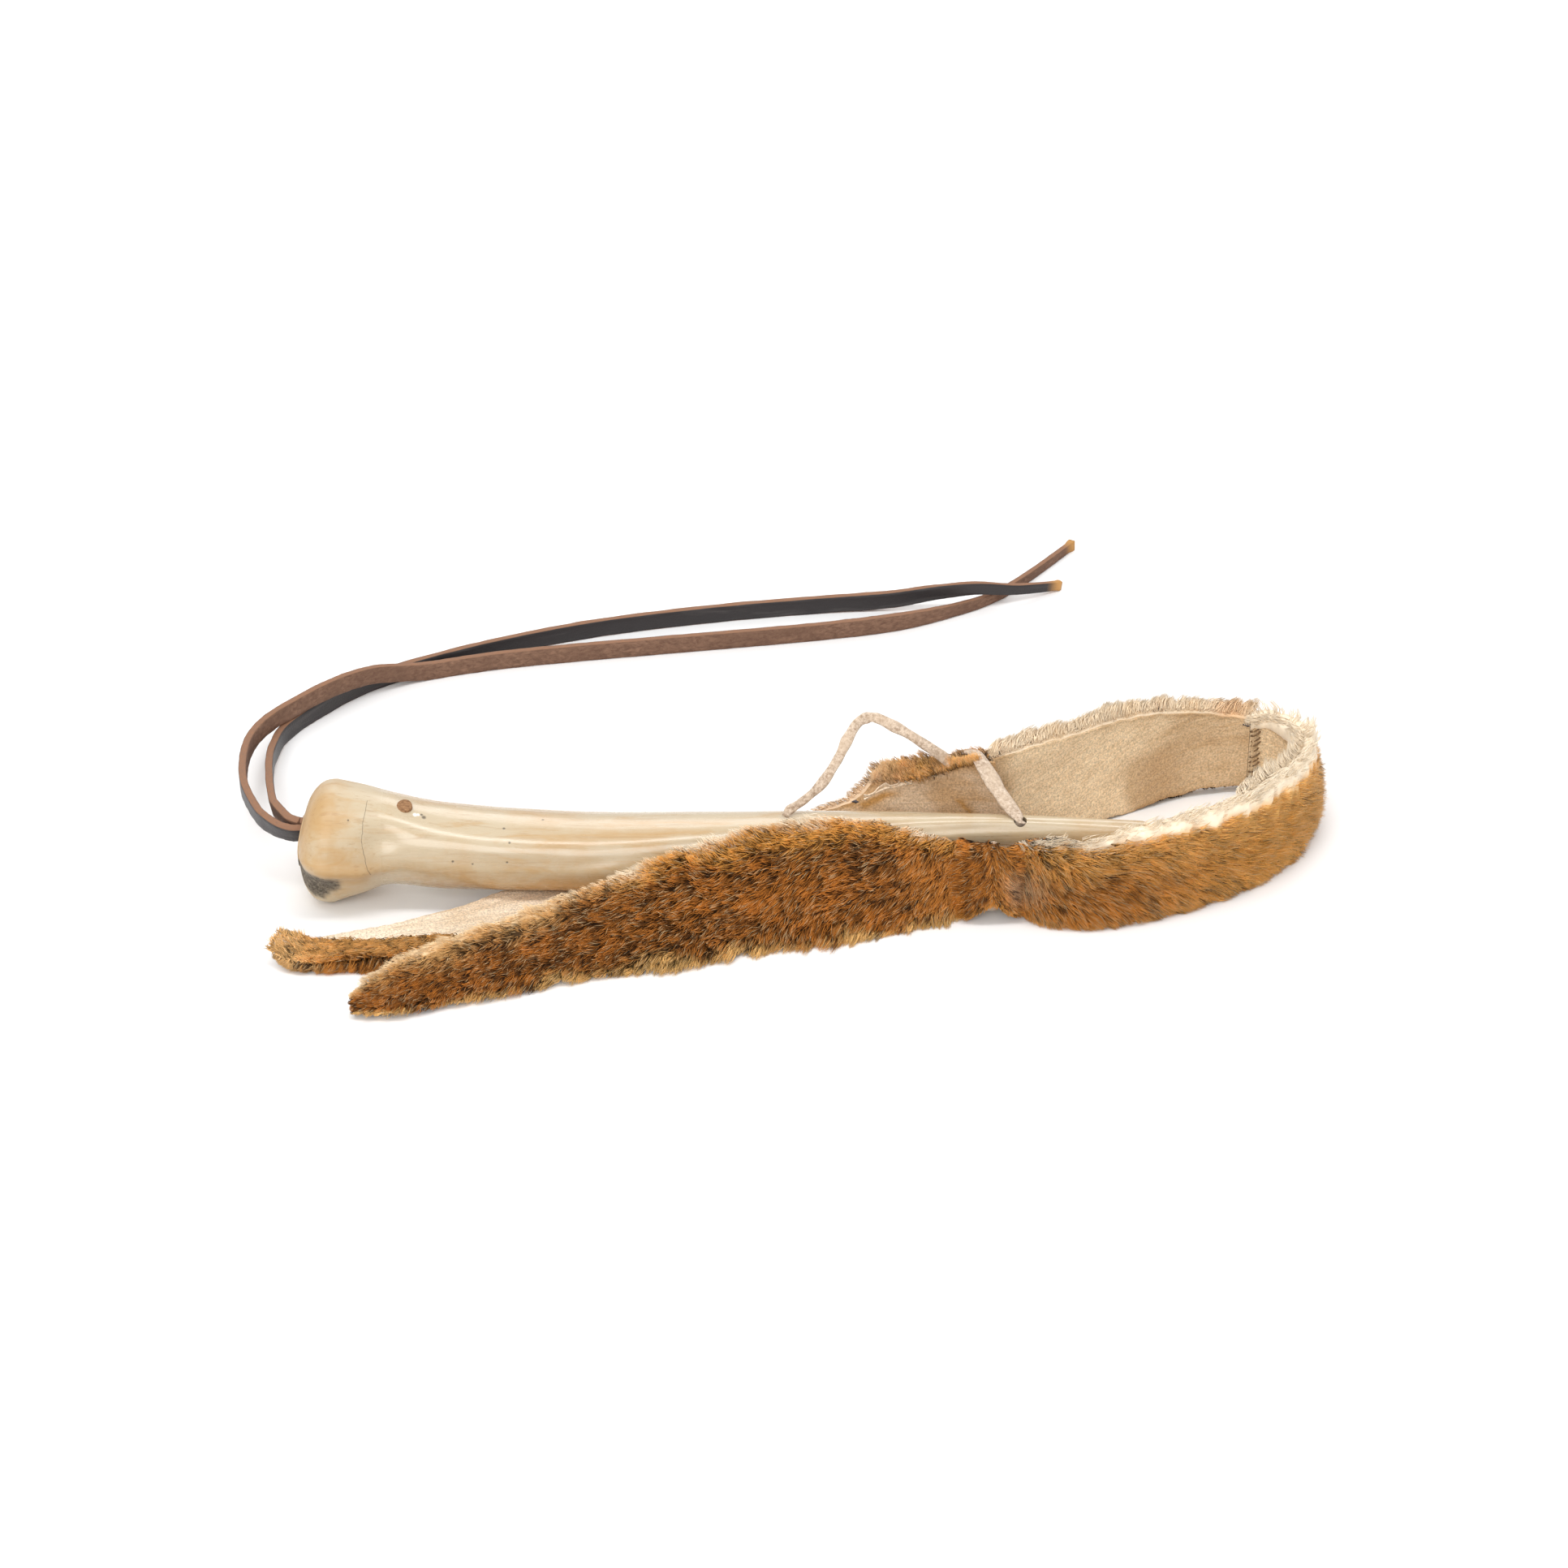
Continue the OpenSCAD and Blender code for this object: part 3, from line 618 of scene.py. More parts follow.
makeLash("lashOuter", "lash_outer", outerLash)
makeLash("lashInner", "lash_inner", innerLash)
makeLashRoot()


# Thong: over the back strap, through the handle, round the strap's neck, and a free end
thong = dict(
    width=4.4, thickness=1.8, steps=8, endLength=0.0985, endTaper=0.25, ragged=0.06, spread=0.6,
    tie=[(-15, 34, 14.5), (-11, 34, 17), (-6, 29, 19.8), (-2, 20, 18), (3, 11, 13), (9, 1, 8.5),
         (12, -2.8, 6), (12, 0, 0), (12, 2.8, -6), (9, 1, -12), (4, -5, -20), (0, -11, -26.6), (0, -18, -27),
         (0, -23, -21), (0, -23.5, -13), (0, -22, -5), (0, -17, -0.6), (0, -11.5, 0.5)],
    end=[(-15.5, 25.8, 16.5), (-25, 24.5, 25.2), (-37, 26, 32.6), (-45.5, 28, 36.4), (-50, 28.5, 36.6),
         (-54.5, 25, 35.8), (-58.5, 18, 32.2), (-62.5, 11, 27), (-68.5, 5, 19.6), (-76, 2.5, 12.8),
         (-82.3, 0, 9.2), (-83.8, -2.8, 8.2)])


def thongRoute(points, taper):
    w, t = thong["width"], thong["thickness"]
    route = smoothRoute([(tieX + x, y, tieZ + z, 90, w, t) for x, y, z in points], thong["steps"])
    share = np.linspace(0, 1, len(route))
    route[:, 4] *= 1 - taper * fade(share, 0.55, 1) + 0.07 * np.sin(share * 37) + 0.05 * np.sin(share * 71)
    return route


# the flat of the thong turned to the front, 30 degrees up
def facing(route):
    ahead = headings(route[:, :3])
    side = unitRows(np.cross(ahead, [0, 0, 1.0]))
    look = np.array([0, math.cos(math.radians(30)), -math.sin(math.radians(30))])
    lean = np.arctan2(-np.cross(side, ahead) @ look, side @ look)
    route[:, 3] = np.degrees(np.unwrap(lean, period=math.pi))
    return route


def makeThong(name, node, route, seed):
    piece = ringTube(name, strapRings(route, softSection, thong["ragged"], seed), buckskin)[0]
    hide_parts(node)
    return piece


tieRoute = thongRoute(thong["tie"], 0)
share = np.linspace(0, 1, len(tieRoute))
flattened = fade(share, 0.08, 0.16) * (1 - fade(share, 0.28, 0.36))     # where it lies over the strap
tieRoute[:, 4] *= 1 + thong["spread"] * flattened
thongTie = makeThong("thongTie", "thong_tie", tieRoute, 8)
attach(thongTie, "handle")
endRoute = facing(thongRoute(thong["end"], thong["endTaper"]))
thongEnd = makeThong("thongEnd", "thong_end", endRoute, 9)
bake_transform(thongEnd)
print("cords laid, thong end is", round(runLength(endRoute[:, :3])[-1]), "mm long")


# Bone handle: rings are distance from the butt, height of the centre, half width, half height
boneShape = dict(
    sides=96, steps=9, length=350, capLength=14, capPower=2.8, capSteps=14, capLeast=0.42,
    tipRadius=5.5, tipSteps=9, tipTurn=86, lobe=0.03, slant=4, unevenness=0.12,
    stations=[(14, 24, 27, 24), (26, 25, 24.25, 21), (38, 25.5, 20.5, 18), (62, 21.75, 20.5, 16.25),
              (105, 19.5, 20.5, 14.5), (137, 19.5, 19.5, 14.2), (214, 24.5, 13.5, 11.5), (283, 29, 6.75, 6.75),
              (344.5, 27, 5.5, 5.5)],
    # bumps: place, angle, spread along and round, height
    bumps=[(34, 152, 9, 18, -2.0), (12, 90, 26, 48, 1.5), (90, 90, 60, 45, 0.8)],
    # lengthwise facets of the shaft: angle from the main one, spread, height
    facets=[(0, 17, 0.55), (-34, 17, -0.15), (26, 12, -0.25), (44, 12, 0.2)])
# marks: place, angle, radius
boneMarks = dict(
    nicks=[(84.5, 115, 0.6), (100, 96, 0.5), (87, 134, 0.5), (86, 162, 0.45), (52, 112, 0.9), (51, 109, 0.6),
           (64, 166, 0.5), (72, 168, 0.4), (22, 128, 0.4), (7, 196, 0.9)],
    chipGleams=[(48.4, 111, 0.9), (49.6, 110, 0.7)])
drillTilt = math.radians(25)
boneHoles = [dict(at=(buttX + 14, 2, 28), diameter=11.05, length=32, turn=(0, math.pi / 2, 0)),     # for the lash
             dict(at=(tieX + 12, 0, tieZ), diameter=5.35, length=27, turn=(drillTilt, 0, 0))]       # for the thong


def boneProfile():
    b = boneShape
    middle = smoothRoute(b["stations"], b["steps"])
    cap = []
    for k in range(b["capSteps"]):
        s = (k / b["capSteps"]) ** 2
        shrink = max(b["capLeast"], (1 - (1 - s) ** b["capPower"]) ** (1 / b["capPower"]))
        cap.append((b["capLength"] * s, middle[0, 1], middle[0, 2] * shrink, middle[0, 3] * shrink))
    tip = []
    for k in range(1, b["tipSteps"] + 1):
        a = math.radians(b["tipTurn"] * k / b["tipSteps"])
        tip.append((b["length"] - b["tipRadius"] * (1 - math.sin(a)), middle[-1, 1],
                    middle[-1, 2] * math.cos(a), middle[-1, 3] * math.cos(a)))
    return np.vstack([cap, middle, tip])


def turned(a, middle):
    return (a - middle + 180) % 360 - 180


# carving in mm, outward: the butt's ridge and hollow, a few bumps and the shaft's facets
def boneCarving(x, a):
    ridge = turned(a, np.interp(x, [0, 25, 40], [172, 188, 194]))
    deep = 1.7 * np.exp(-(ridge / 8) ** 2) * (1 - fade(x, 24, 46))
    deep = deep - 3.2 * np.exp(-((ridge - 28) / 19) ** 2) * (1 - fade(x, 12, 32))
    for atX, atA, spreadX, spreadA, height in boneShape["bumps"]:
        deep = deep + height * np.exp(-((x - atX) / spreadX) ** 2 - (turned(a, atA) / spreadA) ** 2)
    shaft = fade(x, 40, 72) * (1 - fade(x, 270, 330))
    wave = np.interp(x, [38, 60, 78, 91, 160, 260], [140, 134, 139, 136, 127, 119])
    for offset, spread, height in boneShape["facets"]:
        deep = deep + height * shaft * np.exp(-(turned(a, wave + offset) / spread) ** 2)
    return deep + boneShape["unevenness"] * ripple(x * 0.05, np.radians(a) * 1.5, 21)


# the bone's surface at rows of its profile and an angle in degrees, 90 on top and 180 in front
def boneSurface(profile, degrees):
    x, centre, halfW, halfH = (profile[:, k][:, None] for k in range(4))
    angle = np.radians(degrees)[None, :]
    endless = fade(x, 0.0, 2.0) * (1 - fade(x, 340, 350))
    slant = boneShape["slant"] * np.maximum(0, np.sin(angle)) ** 2 * (1 - fade(x, 0, 26)) * (halfH / 24)
    carved = boneCarving(x, degrees[None, :]) * endless / np.maximum(halfH, 1)
    r = 1 + boneShape["lobe"] * np.cos(3 * angle) + carved
    return np.stack([buttX + x + slant, r * halfW * np.cos(angle), centre + r * halfH * np.sin(angle)], 2) * mm


def boneSpots(spots):
    profile = boneProfile()
    found = []
    for x, a, radius in spots:
        row = np.array([[np.interp(x, profile[:, 0], profile[:, k]) for k in range(4)]])
        found.append((boneSurface(row, np.array([float(a)]))[0, 0], radius))
    return found


def drillHole(piece, hole):
    deselectAll()
    bpy.ops.mesh.primitive_cylinder_add(vertices=48, radius=hole["diameter"] / 2 * mm, depth=hole["length"] * mm,
                                        location=[c * mm for c in hole["at"]], rotation=hole["turn"])
    drill = bpy.context.object
    cut = piece.modifiers.new("drill", "BOOLEAN")
    cut.operation = "DIFFERENCE"
    cut.solver = "EXACT"
    cut.object = drill
    applyAll(piece)
    bpy.data.objects.remove(drill)


# where the bone is spongy, stained and polished
def paintBone(piece):
    co = readPoints(piece.data) / mm
    angle = np.degrees(np.arctan2(co[:, 2] - 24, co[:, 1])) % 360
    fromButt = co[:, 0] - buttX
    patch = np.exp(-((fromButt - 7) / 14) ** 2 - ((angle - 208 + 0.5 * fromButt) / 24) ** 2)
    paint(piece.data, "spongy", fade(patch + 0.1 * ripple(co[:, 0], co[:, 2], 4), 0.42, 0.7))
    lower = np.exp(-((angle - 218) / 30) ** 2) * fade(fromButt, 40, 70) * (1 - fade(fromButt, 150, 210))
    paint(piece.data, "stain", np.clip(0.85 - fromButt / 110 + 1.6 * lower, 0.1, 1.4))
    paint(piece.data, "polish", 0.15 + 0.85 * fade(fromButt, 26, 46))


def makeBoneHandle():
    material = makeBone(boneSpots(boneMarks["nicks"]), boneSpots(boneMarks["chipGleams"]))
    sides = boneShape["sides"]
    rings = boneSurface(boneProfile(), np.arange(sides) * 360 / sides)
    rings[:, :, 2] = np.maximum(rings[:, :, 2], 0)
    piece = ringTube("boneHandle", rings, material)[0]
    for hole in boneHoles:
        drillHole(piece, hole)
    smoothShade(piece, 40)
    paintBone(piece)
    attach(piece, "handle")
    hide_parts("bone_handle")


makeBoneHandle()


# Peg: driven in, cut off a hair proud of the bone and rounded over
def makePeg():
    peg = dict(diameter=6.4, up=17.2, down=-19, at=(buttX + 44, 2, 28), rounding=0.5)
    along = np.array([0, -math.sin(drillTilt), math.cos(drillTilt)])
    middle = np.array(peg["at"]) + along * (peg["up"] + peg["down"]) / 2
    deselectAll()
    bpy.ops.mesh.primitive_cylinder_add(vertices=32, radius=peg["diameter"] / 2 * mm,
                                        depth=(peg["up"] - peg["down"]) * mm, location=middle * mm,
                                        rotation=(drillTilt, 0, 0))
    piece = named("lashPeg", pegWood)
    bpy.ops.object.transform_apply(location=True, rotation=True, scale=True)
    soften = piece.modifiers.new("soften", "BEVEL")
    soften.width = peg["rounding"] * mm
    soften.segments = 3
    applyAll(piece)
    smoothShade(piece, 50)
    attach(piece, "handle")
    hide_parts("lash_peg")


makePeg()
print("handle carved")


# Strap panels: stations are x from the tie, y from the handle's side, z, width, lean and fur depth in mm
strap = dict(width=48, fur=7.5, pressed=2, gatherY=-6, gatherZ=4, gatherH=22, loopLength=133, loopWidth=88,
             frontFree=58, frontTail=254, backFree=158, backTail=290, bedZ=3.9, steps=10)


def loopFrontStations():
    w, f, lx, ly = strap["width"], strap["fur"], strap["loopLength"], strap["loopWidth"]
    gather = (strap["gatherY"], strap["gatherZ"], strap["gatherH"], 0, 0.4 * f)
    return [(2.5, *gather), (5.5, *gather), (13, -9, 2, 0.62 * w, 5, 0.8 * f), (24, -15, 0.6, 0.7 * w, 10, f),
            (0.3 * lx, -17, 0.2, 0.73 * w, 8, f), (0.49 * lx, -10, 0.2, 0.84 * w, 5, f),
            (0.7 * lx, 0.06 * ly, 0.2, 0.88 * w, 0, f), (0.86 * lx, 0.27 * ly, 0.2, 0.88 * w, 0, f),
            (0.955 * lx, 0.48 * ly, 0.4, 0.86 * w, 0, f), (lx, 0.68 * ly, 0.8, 0.83 * w, 0, f),
            (lx, 0.84 * ly, 1.5, 0.78 * w, 0, f), (0.97 * lx, 0.94 * ly, 2.4, 0.74 * w, 0, f),
            (0.92 * lx, ly, 3.2, 0.7 * w, 0, f), (0.857 * lx + 0.15, ly + 0.5, 4, 0.67 * w, 0, f)]


def loopBackStations():
    w, f, lx, ly = strap["width"], strap["fur"], strap["loopLength"], strap["loopWidth"]
    across = backY - frontY
    return [(1.5, 21, 1, 0.98 * w, 0, 0.8 * f), (22, 32, 0.6, 0.99 * w, 0, f),
            (0.3 * lx, 0.64 * ly - across, 0.3, w, 0, f),
            (0.45 * lx, 0.78 * ly - across, 0.3, w, 0, f), (0.65 * lx, 0.94 * ly - across, 2.5, 0.84 * w, 0, f),
            (0.78 * lx, 0.995 * ly - across, 3.5, 0.72 * w, 0, f),
            (0.857 * lx - 0.15, ly - across + 0.5, 4, 0.67 * w, 0, f)]


def tailFrontStations():
    w, f = strap["width"], strap["fur"]

    def out(share):
        return -strap["frontFree"] - share * (strap["frontTail"] - strap["frontFree"])
    gather = (strap["gatherY"], strap["gatherZ"], strap["gatherH"], 0, 0.4 * f)
    return [(-3.5, *gather), (-7.5, *gather), (-15, -10, 2, 0.62 * w, 12, 0.8 * f), (-28, -18, 0.6, 0.78 * w, 24, f),
            (out(0), -27, 0.2, 0.92 * w, 33, f), (out(0.2), -38, 0.2, 0.92 * w, 36, f),
            (out(0.37), -50, 0.2, 0.81 * w, 38, f), (out(0.55), -59, 0.2, 0.62 * w, 40, f),
            (out(0.67), -67, 0.2, 0.51 * w, 42, f), (out(0.81), -78, 0.2, 0.46 * w, 45, 0.9 * f),
            (out(0.93), -86, 0.2, 0.32 * w, 48, 0.8 * f), (out(1), -88, 0.2, 0.15 * w, 50, 0.5 * f)]


def tailBackStations():
    w, f, p, bed = strap["width"], strap["fur"], strap["pressed"], strap["bedZ"]

    def out(share):
        return -strap["backFree"] - share * (strap["backTail"] - strap["backFree"])
    return [(-0.5, 19, 1, w - 1, 0, f), (-18, 17, 1, 0.9 * w, -7, f), (-38, 11, 1.5, 0.86 * w, -16, 0.8 * f),
            (-52, 5.5, 2.6, 0.6 * w, -28, 0.65 * f), (-74, -3, bed, 0.56 * w, -58, 0.45 * f),
            (-104, -16, bed, 0.74 * w, -86, p), (-130, -29, bed, 0.84 * w, -88, p),
            (out(0), -42, bed, 0.84 * w, -89, p), (out(0.26), -54, bed, 0.76 * w, -88, p),
            (out(0.46), -60, bed, 0.52 * w, -84, p), (out(0.67), -66, bed, 0.39 * w, -80, p),
            (out(0.9), -70, bed, 0.3 * w, -78, p), (out(1), -64, bed + 3.5, 0.18 * w, -64, p)]


# the panel's own directions at each share of its length: base edge, across, outward and ahead
def panelOf(stations, y0, side, seed):
    route = smoothRoute(stations, strap["steps"])
    base = route[:, :3] + [tieX, y0, 0]
    ahead = headings(base)
    flat = unitRows(np.cross(ahead, [0, 0, 1.0])) * side
    lean = np.radians(route[:, 4])[:, None]
    lift = np.array([0, 0, 1.0])
    run = runLength(base)
    return dict(share=run / run[-1], length=run[-1], base=base, ahead=ahead,
                across=-np.sin(lean) * flat + np.cos(lean) * lift, out=np.cos(lean) * flat + np.sin(lean) * lift,
                width=route[:, 3], fur=route[:, 5], seed=seed)


def panelAt(panel, u):
    def read(key):
        rows = panel[key]
        if rows.ndim == 1:
            return np.interp(u, panel["share"], rows)
        return np.stack([np.interp(u, panel["share"], rows[:, k]) for k in range(3)], 1)
    here = {key: read(key) for key in ("base", "across", "out", "ahead", "width", "fur")}
    for key in ("across", "out", "ahead"):
        here[key] = unitRows(here[key])
    return here


# skin and the soft pile under the guard hair, in mm
skinLook = dict(slack=0.45, torn=0.9, step=1.6, rows=26, rise=0.05, wall=hideT - 0.2)
# glow is how dark the pile is painted as shade under dark hair, and lit is how bright it is kept under cream
pileLook = dict(step=2, rows=22, edge=0.94, over=1.2, share=0.62, clumps=0.28, sunk=0.3, wall=0.5, glow=0.16,
                lit=0.76)


# where the skin is at u along and v across, with its slack waves and torn edges
def skinPoint(panel, u, v, rise):
    here = panelAt(panel, u)
    s = u * panel["length"]
    seed = panel["seed"]
    upper = ripple(s * 0.22, v * 0, seed) * (v > 0.5)
    lower = ripple(s * 0.2, v * 0, seed + 1) * (v < 0.5)
    edge = np.abs(v - 0.5) * 2
    free = fade(s, 4, 20)               # held flat at the tie
    slack = skinLook["slack"] * ripple(s * 0.05, v * 2.2, seed + 2) * free
    across = v * here["width"] + skinLook["torn"] * (upper + lower) * edge**3 * free
    before = np.minimum(s, 0)[:, None] * here["ahead"]
    p = here["base"] + before + across[:, None] * here["across"] + (slack + rise)[:, None] * here["out"]
    p[:, 2] = np.maximum(p[:, 2], overFloor["skin"])
    return p, here


def pileShape(v):
    return np.interp(v, [-0.05, 0, 0.1, 0.34, 0.66, 0.92, 1.04], [0.25, 0.4, 0.8, 1, 1, 0.8, 0.35])


def panelGrid(name, cols, rows, material):
    deselectAll()
    bpy.ops.mesh.primitive_grid_add(x_subdivisions=cols, y_subdivisions=rows, size=1)
    piece = named(name, material)
    co = readPoints(piece.data)
    return piece, co[:, 0] + 0.5, co[:, 1] + 0.5


def stripUvFrom(piece, length, width):
    layer = piece.data.uv_layers[0]
    layer.name = stripUv
    uv = np.empty(len(layer.data) * 2)
    layer.data.foreach_get("uv", uv)
    layer.data.foreach_set("uv", (uv.reshape(-1, 2) * (length * mm, width * mm)).ravel())


def aboveFloor(piece):
    co = readPoints(piece.data)
    co[:, 2] = np.maximum(co[:, 2], overFloor["piece"] * mm)
    writePoints(piece.data, co)


def thicken(piece, thickness, offset):
    wall = piece.modifiers.new("wall", "SOLIDIFY")
    wall.thickness = thickness * mm
    wall.offset = offset
    applyAll(piece)


# one colour for each point, as the fur's materials read it
def paintTone(mesh, color):
    rgba = np.concatenate([color, np.ones((len(color), 1))], 1).astype(np.float32)
    mesh.attributes.new("furTone", "FLOAT_COLOR", "POINT").data.foreach_set("color", rgba.ravel())


# the skin itself: a grid laid along the route, given its thickness on the fur side
def makeSkin(name, panel, material, soilAndShade):
    piece, u, v = panelGrid(name, int(panel["length"] / skinLook["step"]), skinLook["rows"], material)
    if "reach" in panel:
        first = np.interp(v, *panel["reach"])
        u = first + (1 - first) * u
    p = skinPoint(panel, u, 0.01 + 0.96 * v, np.full_like(u, skinLook["rise"]))[0]
    writePoints(piece.data, p * mm)
    stripUvFrom(piece, panel["length"], strap["width"])
    paint(piece.data, "soilAndShade", np.clip(soilAndShade(u, v), 0, 1))
    thicken(piece, skinLook["wall"], 1 if panel["outFirst"] else -1)
    aboveFloor(piece)
    outward(piece)
    smoothShade(piece, 60)
    return piece


# the pile stands off the skin and rolls over its upper edge
def makeUnderfur(name, panel, tone):
    piece, u, v = panelGrid(name, int(panel["length"] / pileLook["step"]), pileLook["rows"], underHair)
    edge, over = pileLook["edge"], pileLook["over"]
    v = v * over
    here = panelAt(panel, u)
    clumps = 1 + pileLook["clumps"] * ripple(u * panel["length"] * 0.5, v * 14, panel["seed"] + 5)
    roll = np.clip((v - edge) / (over - edge), 0, 1) * math.pi
    closing = 1 - fade(u, 0.955, 0.995) if panel.get("closed") else 1
    deep = here["fur"] * pileShape(np.minimum(v, edge)) * pileLook["share"] * clumps * fade(v, -0.02, 0.12) * closing
    deep = hideT - pileLook["sunk"] + deep
    rise = np.where(v > edge, deep / 2 + (deep / 2 + 0.1) * np.cos(roll), deep)
    p, here = skinPoint(panel, u, np.minimum(v, edge), rise)
    p = p + (np.sin(roll) * deep / 2 * fade(u, 0, 0.06))[:, None] * here["across"]
    writePoints(piece.data, p * mm)
    color = tone(u, np.minimum(v, 1.05), np.full_like(u, 0.5))
    least = panel.get("glow", pileLook["glow"])
    # dark under brown fur as painted shade among the hairs, pale under cream
    lit = least + (1 - least) * pileLook["lit"] * fade(color.mean(axis=1), 0.48, 0.64)
    paintTone(piece.data, underWhite(color * lit[:, None]))
    thicken(piece, pileLook["wall"], -1 if panel["outFirst"] else 1)
    aboveFloor(piece)
    outward(piece)
    smoothShade(piece)
    return piece


# one strand is three-sided: a root ring, a middle ring and a tip
strandFaces = [(0, 1, 4, 3), (1, 2, 5, 4), (2, 0, 3, 5), (3, 4, 6), (4, 5, 6), (5, 3, 6), (2, 1, 0)]
strandUv = [((k + c) / 3 * 0.94 + 0.03, h)
            for corners in (((0, 0.25), (1, 0.25), (1, 0.6), (0, 0.6)), ((0, 0.6), (1, 0.6), (0.5, 0.96)))
            for k in range(3) for c, h in corners]
strandUv += [(0.1, 0.05), (0.9, 0.05), (0.5, 0.2)]


def strandMesh(name, root, middle, tip, thick, tones, outer):
    n = len(root)
    along = unitRows(tip - root)
    sideways = unitRows(np.cross(along, outer))
    other = np.cross(along, sideways)
    points = np.empty((n, 7, 3))
    for k in range(3):
        a = 2 * math.pi * k / 3
        spoke = math.cos(a) * sideways + math.sin(a) * other
        points[:, k] = root + spoke * thick[:, None]
        points[:, 3 + k] = middle + spoke * thick[:, None] * 0.8
    points[:, 6] = tip
    points[:, :, 2] = np.maximum(points[:, :, 2], overFloor["hair"])
    corners = np.concatenate(strandFaces)
    sizes = np.array([len(f) for f in strandFaces])
    mesh = bpy.data.meshes.new(name)
    mesh.vertices.add(n * 7)
    mesh.vertices.foreach_set("co", (points * mm).ravel())
    mesh.loops.add(n * len(corners))
    mesh.loops.foreach_set("vertex_index", (np.arange(n)[:, None] * 7 + corners).ravel().astype(np.int32))
    mesh.polygons.add(n * len(sizes))
    starts = np.concatenate([[0], np.cumsum(sizes)[:-1]])
    mesh.polygons.foreach_set("loop_start", (np.arange(n)[:, None] * len(corners) + starts).ravel().astype(np.int32))
    mesh.update(calc_edges=True)
    mesh.validate()
    grid = math.ceil(math.sqrt(n))
    cell = np.stack([np.arange(n) % grid, np.arange(n) // grid], 1)
    uv = (cell[:, None, :] + np.array(strandUv)) / grid
    mesh.uv_layers.new(name=bakeUv).data.foreach_set("uv", uv.ravel().astype(np.float32))
    color = np.empty((n, 7, 3))
    color[:, :3] = tones[0][:, None]
    color[:, 3:6] = tones[1][:, None]
    color[:, 6] = tones[2]
    paintTone(mesh, color.reshape(-1, 3))
    mesh.polygons.foreach_set("use_smooth", np.ones(n * len(sizes), bool))
    piece = bpy.data.objects.new(name, mesh)
    bpy.context.scene.collection.objects.link(piece)
    mesh.materials.append(guardHair)
    return piece


# numbers the cells of a loose grid that the hairs fall into
def cellsOf(a, b):
    both = np.stack([np.floor(a), np.floor(b)], 1).astype(int)
    return np.unique(both, axis=0, return_inverse=True)[1].ravel()


# the same colour, no brighter than a white thing
def underWhite(color):
    return color * np.minimum(1, 0.93 / np.maximum(color.max(axis=1), 1e-6))[:, None]


